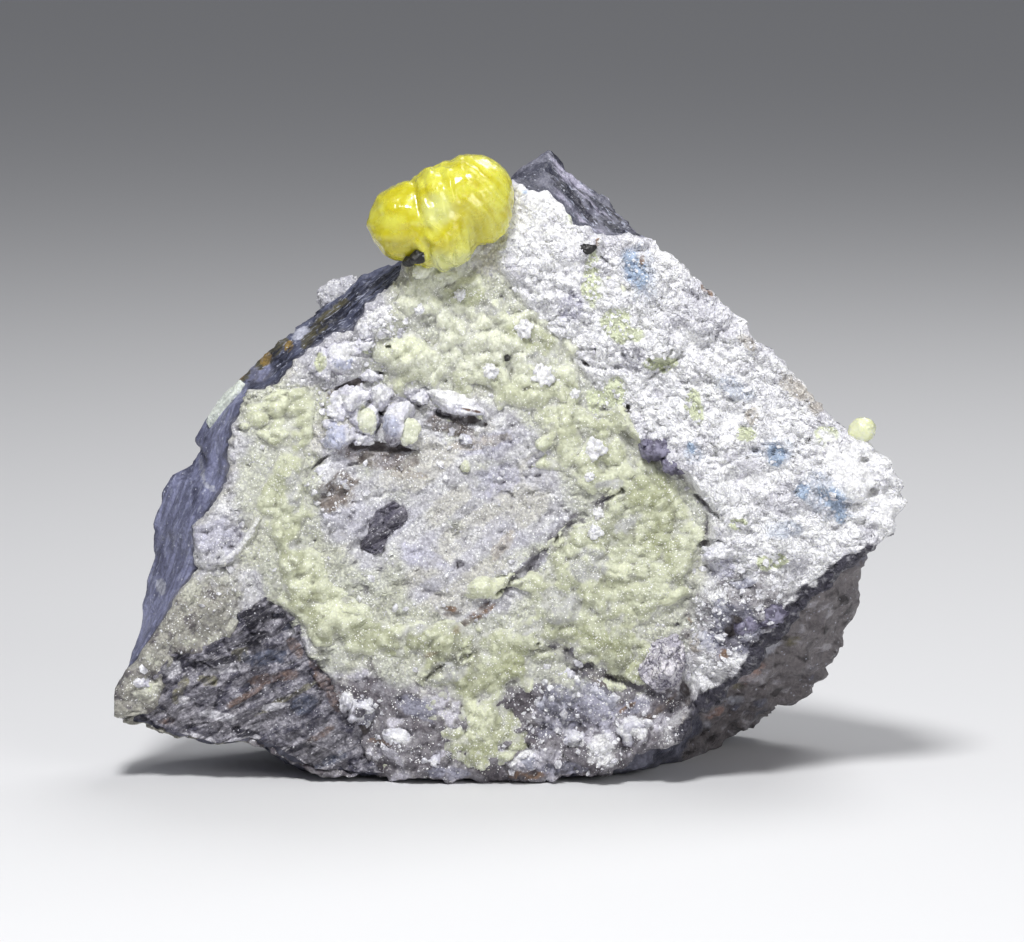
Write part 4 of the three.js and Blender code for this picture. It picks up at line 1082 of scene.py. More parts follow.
# patch on the front inside an outline: a disc grid about its middle, raised by the bedded relief, with its
# edge turned back and closed by a point behind
def outlinePatch(outline, cells, rough, stand, drop):
    outline = np.array(outline)
    centre = outline.mean(axis=0)
    angle, reach = discGrid(cells)
    rim = outlineAt(outline, angle, centre)
    x, z = centre[0] + (rim[:, 0] - centre[0]) * reach, centre[1] + (rim[:, 2] - centre[1]) * reach
    x, z = keptOnFace(x, z)
    y = rockFrontY(x, z) - stand - rough * beddedRelief(x, z) + drop * smooth((reach - 0.93) / 0.07)
    front = np.stack([x, y, z], -1)
    return shell(cells, front, [], np.array([[centre[0], rockFrontY(*centre) + 1, centre[1]]]))


# layered rock: thin beds rising to the right, broken into steps and splintered across
def beddedRelief(x, z):
    along, across = x * 0.87 + z * 0.5, z * 0.87 - x * 0.5
    beds = 0.45 * plates(across / 2.6 + 0.5 * noise(along / 6, 90, across / 3),
                         0.2) + 0.4 * fractal(along / 5, 91, across / 0.9)
    return beds + 0.8 * facets(x / 3.4, z / 2.6, 93) + 0.6 * crumpled(along / 1.8, across / 0.9, 95)


schistLook = {
    "light": tone(184, 181, 190), "dark": tone(82, 80, 96), "clouds": 1.8, "grain": 0.4, "gap": 0.6,
    "shade": (0.26, 0.26, 0.3, 1), "bump": 0.16, "facet": 0.28, "tilt": 0.6, "share": 0.08, "rough": 0.45,
    "mirror": 0.18, "glint": tone(228, 228, 234), "glintPaint": 0.7, "bedding": 0.7, "flecks": 0.8, "fleck": 0.6,
    "beds": [((0, 0.5, 0), "streaky")], "streak": tone(54, 52, 64), "thread": tone(196, 193, 194),
    "ridges": 1.4,
}
schistMaterial = mineral("schist", schistLook, [
    ("grey", tone(160, 157, 164), 0.2, 1.1), ("rusty", tone(128, 104, 92), 0.4, 1.4),
    ("yellowish", tone(146, 142, 116), 0.4, 1.3), ("blueish", tone(92, 98, 118), 0.4, 1.2),
    ("darker", tone(48, 46, 58), 0.3, 1), ("whiter", tone(226, 224, 230), 0.3, 0.9),
    ("violet", tone(94, 90, 106), 0.3, 1.6),
])
schistSpots = {
    "grey": [(-27, 4, 7, 3.4, 20), (-46, 9.4, 7, 1.8, -10), (-37, 8.4, 6, 2, 15)],
    "rusty": [(-33, 14.6, 4.4, 0.8, 10), (-26.4, 14.6, 1, 3.4, 32), (-30, 19, 0.8, 2.4, 30),
              (-37, 12, 3, 0.6, 30),
              (-24.6, 12, 1, 2, 20), (-48, 8.6, 1.4, 0.7, 0), (-27, 6.4, 3, 0.5, 30)],
    "whiter": [(-47.2, 15.6, 1.5, 1.2, 20), (-40, 15.8, 2.4, 0.7, 10), (-45.4, 11.6, 0.9, 0.8, 0),
               (-41, 9.4, 3, 0.6, -10),
               (-33, 10.6, 2, 0.5, 10), (-44, 6.2, 3.6, 0.6, -8), (-30.6, 21, 0.9, 0.8, 0),
               (-38, 5.8, 3, 0.5, 10)],
    "yellowish": [(-46, 12.8, 0.9, 2.2, -25), (-32, 11.4, 4, 0.5, 30), (-37.4, 18, 1.6, 1, 20),
                  (-29, 13, 2.4, 0.4, 30), (-42, 14.4, 1.6, 0.8, 0)],
    "blueish": [(-28.6, 10.8, 2, 1.6, 20), (-34.6, 17.6, 3, 1.2, 0), (-24.6, 3.4, 3, 0.7, 25)],
    "darker": [(-35, 23.4, 2.6, 1.8, 10), (-41.4, 16.8, 3.6, 0.7, 10), (-36.6, 6.6, 2, 0.8, -20),
               (-30, 4.8, 3, 0.5, 25), (-35.6, 20, 1.6, 1, 20)],
}


# outline moved outwards from its middle
def grown(outline, distance):
    away = np.array(outline) - np.mean(outline, axis=0)
    return np.array(outline) + away / np.linalg.norm(away, axis=1, keepdims=True) * distance


# name, outline, how far it runs on under the crust, grid cells, roughness, stand
darkFaces = [("schist_face", schistOutline, 1.6, 150, 1, 0.35),
             ("dark_block", blockOutline, 0.1, 60, 0.9, 1.1)]
for name, outline, growth, cells, rough, stand in darkFaces:
    points, faces = outlinePatch(grown(outline, growth), cells, rough, stand, 1.4)
    x, _, z = points.T
    masks = {mask: spots(x, z, patches) for mask, patches in schistSpots.items()}
    masks["streaky"] = np.full(len(x), 0.5)
    masks["violet"] = np.full(len(x), float(name == "dark_block"))
    makePiece(name, points, faces, schistMaterial, "serpentinite", **masks)

print("druse")
# strips and mounds of the druse: x, z, half width, half height, turn, height
mounds = [(-3.6, 26.4, 4.9, 3.3, 20, 0.9), (11.1, 27, 1.8, 1.7, 0, 0.6), (7.1, 23.9, 1.9, 1.7, 0, 0.6),
          (-24.7, 22, 2.6, 2, 30, 0.8), (-30.5, 31, 1.4, 1.2, 0, 0.5), (-14.3, 59.7, 3.6, 2, 10, 0.7)]
druseGrid = {"cells": 280}


# front of the druse: smooth pillows a few millimetres wide, smaller buttons and a little sugar
def druseFrontY(x, z):
    cover = druseCover(x, z)
    bentX, bentZ = x + 0.8 * noise(x / 3, 99, z / 3), z + 0.8 * noise(x / 3, 98, z / 3)
    pillows = 0.7 * grains(bentX / 4.2, bentZ / 3.6, 101) + 0.9 * grains(bentX / 1.9, bentZ / 1.7, 103)
    sugar = 0.24 * grains(x / 0.85, z / 0.85, 105) + 0.2 * fractal(x / 2.6, 111, z / 2.6)
    patchy = 0.7 * noise(x / 3.4, 115, z / 3.4) + 0.45 * noise(x / 1.4, 116, z / 1.4)
    out = crustBase(x, z) + crust["druse"] * 0.8 * cover - 0.5 + cover * (pillows + sugar - 0.5)
    out = out + patchy * (1.3 - cover) - 2 * (1
                                              - smooth(5 * cover)) - 2 * smooth((cutDepth(x, z) - 0.15) / 0.8)
    for mound in mounds:
        out = out + mound[5] * smooth((1.3 - ellipse(x, z, mound)) / 1.2) * cover
    dark = np.maximum(inside(x, z, schistOutline), inside(x, z, blockOutline) + 0.6)
    hidden = smooth((dark + 1.4) / 1.2)
    return rockFrontY(x, z) - out * (1 - hidden) + hidden * tuckedIn(x, z)


# the druse's shell: as the crust's, a little smaller, its back sunk in the crust
def druseShell():
    angle, reach = discGrid(druseGrid["cells"])
    x, z = faceGrid(angle, reach, druseInset)
    front = np.stack([x, druseFrontY(x, z) + 1.2 * smooth((reach - 0.96) / 0.04), z], -1)
    rim = front[discEdge(druseGrid["cells"])].copy()
    rim[:, 1] = rockFrontY(rim[:, 0], rim[:, 2]) + 0.35
    return shell(druseGrid["cells"], front, [rim],
                 np.array([[hub[0], rockFrontY(*hub) + 3.6, hub[1]]], float))


drusePoints, druseFaces = druseShell()
px, py, pz = drusePoints.T
druseLook = {
    "light": tone(218, 221, 196), "dark": tone(196, 199, 170), "clouds": 2.8, "grain": 0.42, "gap": 0.4,
    "shade": (0.6, 0.6, 0.56, 1), "bump": 0.09, "facet": 0.24, "tilt": 0.5, "share": 0.16, "rough": 0.42,
    "mirror": 0.08, "glint": tone(255, 255, 252), "glintPaint": 0.9, "haze": 0.4, "hazeReach": 0.8,
    "flecks": 0.9, "fleck": 0.4,
}
druseStains = {
    # brown dirt along the cracks
    "umberAndShadow": [(-5.6, 22.8, 3, 0.7, 30), (-8.4, 23.8, 1.4, 0.5, 0), (-13, 17.4, 3, 0.5, 20),
              (14, 14.8, 3, 0.7, -25)],
    "greyish": [(4.5, 60, 2.6, 1.6, 20), (-1, 66.5, 4, 1.2, 10), (11, 30.6, 3, 2.4, 0), (6.6, 25, 3, 2.6, 0),
                (16, 36.4, 2.4, 1.2, 30), (-14, 64, 3, 1.2, 20), (13.6, 41.6, 2, 1, 0), (3, 22, 2, 1, 20),
                (-13, 22, 3, 1, 30), (-9, 15.6, 3, 1.4, 20), (-30, 41, 1.2, 3, 0), (8, 36, 2, 0.8, 40),
                (-29, 33.5, 2, 1, 0)],
    "deeper": [(19.4, 40.6, 3.6, 2.8, 0), (3, 62, 4, 2, -20), (14, 19.6, 5, 1.8, -20), (21, 34, 2.4, 4, 0),
               (-5, 68, 4, 1.6, 10), (-34, 46.5, 2, 1, 30), (-26.5, 40, 1, 2, 0), (18, 15, 2, 3, 0),
               (-5, 3.4, 5, 2.4, 0),
               (1.5, 16.6, 4, 2, 0), (-3.4, 24, 3, 0.6, 10)],
    "paler": [(-3.6, 27, 4, 2.2, 20), (-24.5, 23.6, 3, 2.6, 0), (-14.3, 60.3, 3.6, 1.8, 10),
              (-33, 53, 4, 1.2, 30),
              (-5, 9, 3.6, 3.4, 0), (22, 26, 1.8, 3, 0), (-29, 28.5, 2.4, 2.4, 0), (-36, 50, 1, 2, 0),
              (6, 50, 3, 1.6, 30), (15, 30, 2, 1.2, 20)],
}
druseMasks = {name: spots(px, pz, patches) for name, patches in druseStains.items()}
# painted shade in the druse's low places, and painted light on its raised tops
druseMasks["low"] = np.clip(1 - 2 * standing(py, druseGrid["cells"], 2, 0.6), 0, 1)
druseMasks["high"] = np.clip(2 * standing(py, druseGrid["cells"], 2, 0.6) - 1, 0, 1)
druseMasks["thin"] = 1 - smooth((crustFrontY(px, pz) - py) / 1.1)
# painted shade falling off towards the lower left, and painted light on the top
druseMasks["shady"] = smooth((46 - pz - 0.3 * px) / 40)
druseMasks["upper"] = smooth((pz - 52) / 8)
druseMasks["dirt"] = crackDirt(px, pz)
buttons = noise(px / 2.6, 117, pz / 2.6) + 0.6 * noise(px / 1.2, 118, pz / 1.2)
druseMasks["milky"] = smooth((buttons - 0.3) / 0.3) * smooth((46 - pz) / 8)
druseMasks["smoky"] = smooth((-0.32 - buttons) / 0.3) * smooth((46 - pz) / 8)
druseMaterial = mineral("druse", druseLook, [
    ("shady", tone(170, 173, 141), 0.1, 1.3), ("upper", tone(230, 232, 214), 0.2, 1.2),
    ("milky", tone(206, 209, 184), 0.2, 1.4),
    ("smoky", tone(150, 152, 132), 0.2, 1.4), ("greyish", tone(184, 184, 184), 0.3, 1.2),
    ("deeper", tone(168, 172, 134), 0.3, 1.4), ("paler", tone(226, 229, 200), 0.3, 1.3),
    ("umberAndShadow", tone(150, 136, 112), 0.3, 1.5), ("dirt", tone(116, 116, 106), 0.1, 1.3),
    ("thin", tone(200, 200, 194), 0.3, 1.2), ("low", tone(138, 139, 120), 0.25, 1.3),
    ("high", tone(226, 229, 204), 0.3, 1.3),
])
makePiece("druse_surface", drusePoints, druseFaces, druseMaterial, "druse", replaced=["druse_crust"],
          **druseMasks)


# directions from a ball's middle on two disc grids, front and back, joined round the side
def ball(cells):
    angle, reach = discGrid(cells)
    polar = reach * np.pi / 2 * (1 - 0.5 / cells)
    flat, depth = np.sin(polar), np.cos(polar)
    front = np.stack([flat * np.cos(angle), -depth, flat * np.sin(angle)], -1)
    return shell(cells, front, [], front * [1, -1, 1])


print("lumps of the crust")
# reach of a rounded lump of flat faces along each ray: planes at random turns about a distance of 1, joined
# by the power sum of how steeply the ray meets each
def chunkReach(rays, rng, planes=16, sharp=14):
    normals = rng.normal(size=(planes, 3))
    normals /= np.linalg.norm(normals, axis=1, keepdims=True)
    slopes = np.maximum(rays @ normals.T, 0.02) / rng.uniform(0.75, 1.1, planes)
    return np.sum(slopes**sharp, axis=1) ** (-1 / sharp)


# broken lump: a chunk stretched to half width, out and half height, with crumbs and pits, turned in its plane
def lump(x, z, rx, rz, out, turn, y=None, cells=26, rough=1.0, sharp=30):
    rays, faces = ball(cells)
    rng = np.random.default_rng(int(abs(x * 131 + z * 17)))
    points = rays * [rx, out, rz] * np.minimum(chunkReach(rays, rng, sharp=sharp), 1.25)[:, None]
    seat = rockFrontY(x, z) - crustBase(x, z) + 0.25 * out if y is None else y
    flats, _ = cells3(*((points + [x, 0, z]).T / 1.5), 31)
    fine, bumps = cells3(*((points + [x, 0, z]).T / 0.7), 37)
    points = points + rays * (rough * (0.5 * flats + 0.24 * fine + 0.12 * bumps))[:, None]
    c, s = math.cos(math.radians(turn)), math.sin(math.radians(turn))
    return points @ np.array([[c, 0, s], [0, 1, 0], [-s, 0, c]]) + [x, seat, z], faces


# several shells as one: points end to end, faces numbered on
def together(shells):
    starts = np.cumsum([0] + [len(points) for points, _ in shells[:-1]])
    faces = [face + start for (_, many), start in zip(shells, starts) for face in many]
    return np.concatenate([points for points, _ in shells]), faces


# lumps that overhang the crust: x, z, half width, half height, how far they stand out, turn
crustLumps = [
    (-17.9, 64.4, 2.9, 1.9, 2, 15), (-16, 62.6, 1.5, 1.2, 1.9, 0), (-19.6, 62.6, 1.3, 1.2, 1.8, 20),
    (-26, 58.2, 1.5, 2, 1.9, -15), (-23.2, 59.2, 2.1, 2.2, 2.3, 10), (-21.2, 60.6, 2, 1.1, 2, 25),
    (-19.6, 56.6, 1.4, 1, 1.6, -10), (-22.6, 53.2, 2.6, 1.4, 2.6, 20), (-24.4, 51.4, 1.4, 1.5, 2.2, 0),
    (-18.2, 53.4, 1.6, 1.9, 2.8, 10),
    (-23.9, 48.6, 2.1, 2.3, 2.8, 30), (-20.7, 47.8, 1.5, 1, 2.4, 0), (-20.4, 50.4, 1.9, 2.4, 2.6, 10),
    (-15.6, 50.2, 3.7, 1.9, 3.4, 48), (-12.6, 53.6, 1.2, 0.9, 2.4, 20),
    (-24.6, 37.6, 1.4, 1.6, 1.9, 20), (-26.4, 43.2, 1.7, 1, 1.6, 40), (-24, 42.4, 1.2, 0.8, 1.5, 0),
    (-27.6, 41.6, 1, 0.8, 1.5, 0), (-15.9, 6.4, 2.4, 1.3, 2.4, -10), (-20.9, 10.2, 1.6, 1.3, 1.8, 20),
    (-23, 11.4, 0.8, 1.2, 1.4, 0), (-11, 3, 1.6, 1, 1.6, 0),
    (13, 3.9, 2.6, 2, 1.8, 20), (16.8, 7.6, 1.9, 1.7, 2.2, 0), (6, 11.4, 2.1, 1.9, 2.1, 30),
    (7.6, 15, 1.5, 1, 1.7, 0),
    (12.2, 11.8, 2.6, 2, 2.3, -20), (1.6, 3.2, 2, 1.3, 1.8, 20), (8.6, 6.4, 1.4, 1.1, 1.6, 0),
    (-6.4, 47.8, 1, 0.7, 1.4, 0), (31.6, 36.9, 1.6, 1, 1.6, 0), (28.6, 32.6, 1.8, 1, 1.7, 10),
    (35, 32.4, 2.4, 1.3, 1.7, -10), (33, 28.4, 2.2, 1.3, 1.8, 20), (29.4, 25.4, 1.6, 1.5, 1.8, 0),
    (33.4, 21.6, 2.2, 1.1, 1.7, 35), (27.2, 19.6, 1.2, 1.4, 1.7, 0), (-51.4, 14, 1.1, 0.9, 1.2, 0),
]
# the pale flake with its point to the right, and the light-grey grains about it
flake = (-8, 52.8, 3.9, 1.6, 3.6, -16)
parts = [lump(*entry) for entry in crustLumps] + [lump(*flake, cells=40, rough=0.7, sharp=22)]
points, faces = together(parts)
x, y, z = points.T
lumpMasks = {
    # painted shade on the lower side of each lump and of the flake
    "undersideShade": np.concatenate([smooth((entry[1] - part[0][:, 2]) / entry[3] - 0.2)
                             for entry, part in zip([*crustLumps, flake], parts)]),
    "field": fieldMask(x, z),
    "yellowish": spots(x, z, [(-13.7, 49, 1.3, 1.7, -25), (-20, 50.6, 1.3, 1.8, 0), (-26.4, 58.6, 1, 1.6, 0),
                              (34.6, 31.6, 1.6, 0.9, 0)]),
    "blueish": spots(x, z, [(-24.2, 48.4, 1.8, 1.9, 0), (-23.2, 58.4, 1.6, 1.4, 0), (-16.8, 50, 1.4, 1.6, 40),
                            (9, 12.6, 2, 1, 0)]),
    "slaty": spots(x, z,
                   [(6.2, 11.6, 3, 2.8, 0), (12.2, 11.4, 3, 2, 0), (1.6, 3, 2, 1, 0), (31, 24, 6, 6, 0)]),
    # dark spots, mostly thin lines just under the lumps and the flake: painted shadow
    "darker": spots(x, z, [(-20.9, 10, 1.3, 1, 0), (-26, 42.4, 2.4, 0.5, 30), (-7.6, 51, 3.9, 0.45, -16),
                           (-23.8, 36.4, 0.8, 0.6, 0), (-16, 4.9, 2.2, 0.4, -10), (34, 20.8, 2, 0.6, 35)]),
    "rusty": spots(x, z, [(-6, 52.2, 2.4, 0.25, -14), (-17, 5.6, 1.4, 0.4, 0), (8, 12, 2, 0.3, -30)]),
    # paler paint on the upper part of each lump and of the flake: painted light
    "whiter": spots(x, z, [(12.6, 5, 2, 1.6, 0), (-8, 53.8, 3.4, 0.9, -16), (-16, 6.6, 1.8, 0.6, -10),
                           (-23.2, 60, 2, 1, 0), (-18.2, 65, 2, 1.2, 0), (-22.6, 53.8, 2, 0.8, 20),
                           (-18.2, 54, 1.2, 1, 0), (31.6, 37.2, 1.2, 0.6, 0)]),
}
lumpLook = dict(crustLook, light=tone(252, 252, 254), dark=tone(222, 221, 232), grain=0.5, gap=0.5,
                share=0.12, fleck=0.35)
del lumpLook["crinkle"]
lumpMaterial = mineral("crust lumps", lumpLook, [
    ("field", tone(236, 236, 239), 0, 1), ("yellowish", tone(214, 218, 184), 0.4, 1.1),
    ("blueish", tone(196, 200, 222), 0.3, 1.3),
    ("slaty", tone(172, 173, 188), 0.2, 1.2), ("undersideShade", tone(128, 123, 136), 0.5, 1.4),
    ("rusty", tone(116, 92, 82), 0.5, 1.1), ("darker", tone(84, 80, 90), 0.5, 1.2),
    ("whiter", tone(252, 252, 252), 0.3, 1),
])
makePiece("crust_lumps", points, faces, lumpMaterial, "granular_crust", **lumpMasks)


# random turns, as matrices, from unit quaternions
def turns(rng, count):
    quaternion = rng.normal(size=(4, count))
    w, x, y, z = quaternion / np.linalg.norm(quaternion, axis=0)
    rows = [[1 - 2 * (y * y + z * z), 2 * (x * y - z * w), 2 * (x * z + y * w)],
            [2 * (x * y + z * w), 1 - 2 * (x * x + z * z), 2 * (y * z - x * w)],
            [2 * (x * z - y * w), 2 * (y * z + x * w), 1 - 2 * (x * x + y * y)]]
    return np.transpose(np.array(rows), (2, 0, 1))


# crystal with a six-sided outline: two points on its axis and a ring, or two rings for a plate
def bipyramid(sides, height):
    turn = 2 * np.pi * np.arange(sides) / sides
    ring = np.stack([np.cos(turn), np.sin(turn), 0 * turn], -1)
    k = np.arange(sides)
    top = np.stack([k, (k + 1) % sides, np.full(sides, sides)], -1)
    bottom = np.stack([(k + 1) % sides, k, np.full(sides, sides + 1)], -1)
    return np.concatenate([ring, [[0, 0, height], [0, 0, -height]]]), np.concatenate([top, bottom])


# one small shape set at many places, each copy turned and sized at random
def scattered(places, sizes, shape, rng):
    base, faces = shape
    stretch = rng.uniform(0.7, 1.3, (len(places), 1, 3))
    points = np.einsum("nvk,nkj->nvj", base * stretch * sizes[:, None, None], turns(rng, len(places)))
    points = (points + places[:, None]).reshape(-1, 3)
    numbers = faces[None] + len(base) * np.arange(len(places))[:, None, None]
    return points, [numbers.reshape(-1, 3)]


# random places on the front where wanted(x, z), 0..1, lets them stay
def placesOn(rng, count, wanted, surface):
    angle, reach = rng.uniform(0, 2 * np.pi, count), np.sqrt(rng.uniform(0, 0.96, count))
    x, z = faceGrid(angle, reach)
    kept = rng.uniform(size=count) < wanted(x, z)
    x, z = x[kept], z[kept]
    return np.stack([x, surface(x, z), z], -1)


print("druse crystals and crust grains")
rng = np.random.default_rng(7)


# 1 where the druse lies over the crust, thinned to 0.3 in soft patches
def covered(x, z):
    return (druseFrontY(x, z) < crustFrontY(x, z)) * (0.3 + 0.7 * smooth(0.6 + noise(x / 2.4, 121, z / 2.4)))


# 1 where the crust shows: clear of the druse, the dark rock, the hollows and the seam's rim
def bare(x, z):
    clear = ((druseFrontY(x, z) > crustFrontY(x, z)) & (inside(x, z, schistOutline) < -0.2)
             & (inside(x, z, blockOutline) < 0))
    rim = seamRun(np.arctan2(z - hub[1], x - hub[0])) * (rimInset(x, z) < 3.2)
    return clear * (cutDepth(x, z) < 0.3) * (1 - rim)


rubblePatches = [
    (-22, 53, 6, 5, 0), (-25, 41, 4, 3.4, 30), (-20, 61, 6, 3.4, 30), (-14, 48, 7, 2, 0), (31, 26, 7, 8, 40),
    (8, 8, 9, 8, 0), (25, 38, 5, 2.4, -35), (-48, 9, 6, 3, 30), (-20, 8, 6, 4, 0),
]


# the bare crust where it is broken to rubble: 1 in the patches, 0.12 elsewhere
def broken(x, z):
    return bare(x, z) * np.clip(0.12 + spots(x, z, rubblePatches), 0, 1)


# the bare crust inside the white field
def onField(x, z):
    return bare(x, z) * fieldMask(x, z)


# the bare crust outside the white field, fewer low down: 0.8 falling to 0.3
def offField(x, z):
    return bare(x, z) * (1 - fieldMask(x, z)) * (0.8 - 0.5 * smooth((24 - z) / 8))


plainLook = {key: value for key, value in crustLook.items() if key != "crinkle"}
fieldLook = dict(plainLook, light=tone(250, 250, 252), dark=tone(222, 222, 227))
sparkLook = dict(druseLook, light=tone(250, 250, 244), dark=tone(226, 228, 206), rough=0.2)
greyLook = dict(plainLook, light=tone(246, 246, 248), dark=tone(196, 195, 202), rough=0.3)
grainKinds = [
    ("druse_crystals", 30000, covered, druseFrontY, 0.07, 0.17, bipyramid(4, 1.1), "druse", sparkLook),
    ("field_grains", 9000, onField, crustFrontY, 0.16, 0.5, bipyramid(4, 0.8), "granular_crust", fieldLook),
    ("crust_grains", 14000, offField, crustFrontY, 0.07, 0.18, bipyramid(4, 1), "granular_crust", greyLook),
    ("crust_rubble", 4200, broken, crustFrontY, 0.25, 0.8, bipyramid(6, 0.7), "granular_crust", greyLook),
]
for name, count, wanted, surface, small, large, shape, slot, look in grainKinds:
    places = placesOn(rng, count, wanted, surface)
    sizes = small + (large - small) * rng.uniform(size=len(places)) ** 3
    points, faces = scattered(places, sizes, shape, rng)
    material = mineral(name.replace("_", " "), dict(look, gap=0.2, bump=0.04, clouds=1.2, share=0.3))
    makePiece(name, points, faces, material, slot, crisp=True)

print("white tufts")
# small snow-white tufts on the druse: x, z, radius
tufts = [(1.7, 63.3, 1.25), (-2.8, 57.6, 0.95), (4.5, 56.8, 1.5), (8.8, 54.3, 0.7), (11.7, 46.6, 1.4),
         (10.9, 42.9, 0.7), (11.7, 35.1, 1), (12.1, 37.6, 0.8), (-7, 68, 0.8), (-12.6, 66, 0.7)]


# tuft: a ball of small round grains with an uneven outline
def tuft(x, z, radius):
    rays, faces = ball(24)
    _, bumps = cells3(*(rays.T * 3.1 + [[x], [0], [z]]), 41)
    arms = noise(*(rays.T * 2.6 + x))
    reach = radius * (0.78 + 0.25 * bumps + 0.45 * arms + 0.15 * noise(*(rays.T * 7 + z)))
    at = np.array([x]), np.array([z])
    seat = min(druseFrontY(*at)[0], crustFrontY(*at)[0])
    return rays * [1, 0.6, 1] * reach[:, None] + [x, seat - 0.1, z], faces


points, faces = together([tuft(*entry) for entry in tufts])
tuftLook = dict(plainLook, light=tone(252, 252, 252), dark=tone(238, 238, 240), gap=0.2, haze=0.5, grain=0.35,
                bump=0.1)
makePiece("white_tufts", points, faces, mineral("white tufts", tuftLook), "granular_crust")

print("chip, edge lump and flake")
chipLook = dict(crustLook, light=tone(238, 234, 238), dark=tone(196, 192, 204), bump=0.18, share=0.08,
                crease=1,
                shade=(0.26, 0.25, 0.3, 1), crinkle=0.9)
points, faces = lump(21.3, 16.4, 4.2, 3.9, 4.4, 20, cells=80, rough=0.5, sharp=20)
leaves = crumpled((0.7 * points[:, 0] + 0.7 * points[:, 2]) / 1.6,
                  (0.7 * points[:, 2] - 0.7 * points[:, 0]) / 1.1, 29)
points[:, 1] -= 0.9 * (leaves - 0.4) * smooth((-18 - points[:, 1]) / 2)
makePiece("cemented_chip_surface", points, faces, mineral("chip", chipLook), "chip",
          replaced=["cemented_chip"],
          foil=np.ones(len(points)))
points, faces = lump(-23.4, 65, 3.4, 3.2, 3, 15, y=0.5, cells=44)
edgeLook = dict(plainLook, light=tone(246, 246, 248), dark=tone(200, 200, 208))
makePiece("edge_lump_surface", points, faces, mineral("edge lump", edgeLook), "granular_crust",
          replaced=["edge_lump"])
points, faces = lump(-39.8, 51.4, 4.4, 1.4, 2.4, 52, y=-6.5, cells=44, rough=0.35)
flakeLook = dict(plainLook, light=tone(230, 236, 226), dark=tone(208, 215, 206), gap=0.3, fleck=0.2)
makePiece("edge_flake_surface", points, faces, mineral("edge flake", flakeLook), "druse",
          replaced=["edge_flake"])

print("brucite nodule")
# lobes of the nodule about its middle: x, y, z, radius
nodule = {"middle": (-9.6, -15.5, 79), "cells": 130, "sharpness": 1.7}
noduleLobes = [
    (4.1, 0.4, 2.5, 6.1), (-4.9, 0, -1, 5.6), (-2.5, -0.4, 0.7, 4.7), (-0.2, -1.4, -2.3, 5.2),
    (0.4, -1.2, 2, 5.2), (6, -0.6, -0.5, 3.4),
]


# furthest lobe along each ray, softly joined: log of the summed exponentials of the reaches, by the sharpness
def lobesReach(rays, lobes, sharpness):
    total = np.zeros(len(rays))
    for *middle, radius in lobes:
        along = rays @ np.array(middle)
        within = along**2 - np.dot(middle, middle) + radius**2
        total += np.where(within > 0, np.exp(sharpness * (along + np.sqrt(np.maximum(within, 0)))), 0)
    return np.log(total) / sharpness


rays, faces = ball(nodule["cells"])
reach = lobesReach(rays, noduleLobes, nodule["sharpness"])
body = rays * reach[:, None]
x, y, z = body.T
wobble = 0.5 * noise(x / 3, y / 3, z / 3) + 0.2 * noise(x / 1.2, y / 1.2, z / 1.2)
domeWay = np.hypot(x + 1.5, z + 3.5)  # distance from the right dome's foot
onRight, onLeft = smooth((x - 1.4) / 3), smooth((-2.6 - x) / 2)
shells = plates((domeWay + wobble) / 3.1, 0.2)
scales = onRight * 0.2 * shells
waves = (1 - 0.7 * onRight) * 0.3 * noise(x / 1.8 + 7, y / 2.2,
                                          z / 1.4) + 0.07 * noise(x / 0.8, y / 0.9, z / 0.8 + 5)
folds = (1 - onRight) * (1 - onLeft) * 0.35 * plates((x + 0.5 * z + 2 * wobble) / 2.3, 0.4)
groove = 0.35 * np.exp(-((x + 3 + 0.25 * z + wobble) / 0.6) ** 2)
fins = smooth((-2.6 - z + 0.3 * (x - 4)) / 2) * 0.4 * plates(np.arctan2(z, x) * 3 + 2 * wobble, 0.3)
thin = onRight * 0.12 * plates((domeWay + 0.5 * wobble) / 0.95, 0.3)
reach = reach + scales + waves + folds + thin - groove * smooth((y - 1) / -3 + 0.3) + fins - 0.34
points = rays * reach[:, None] + nodule["middle"]
noduleMasks = {
    # pale frill at the bottom, and a pale disc on the middle bulge: painted highlight
    "pale": np.clip(smooth((-3.4 - z) / 2.4) * smooth((x + 2.5) / 2)
                    + smooth(1.5 - np.hypot(x + 0.4, z - 1.4) / 2.2) * 0.8, 0, 1),
    "deep": np.clip(onRight * smooth(1 - np.abs(domeWay - 7.4) / 2.4)
                    + smooth((-1.4 - z - 0.2 * x) / 3) * onLeft
                    + 0.7 * smooth(1.6 - np.hypot(x - 0.2, z + 4.2) / 1.9), 0, 1),
    "edge": np.clip(onRight * np.maximum(smooth((shells - 0.86) / 0.14),
                                         0.6 * smooth((thin / 0.12 - 0.7) / 0.3)), 0, 1),
}
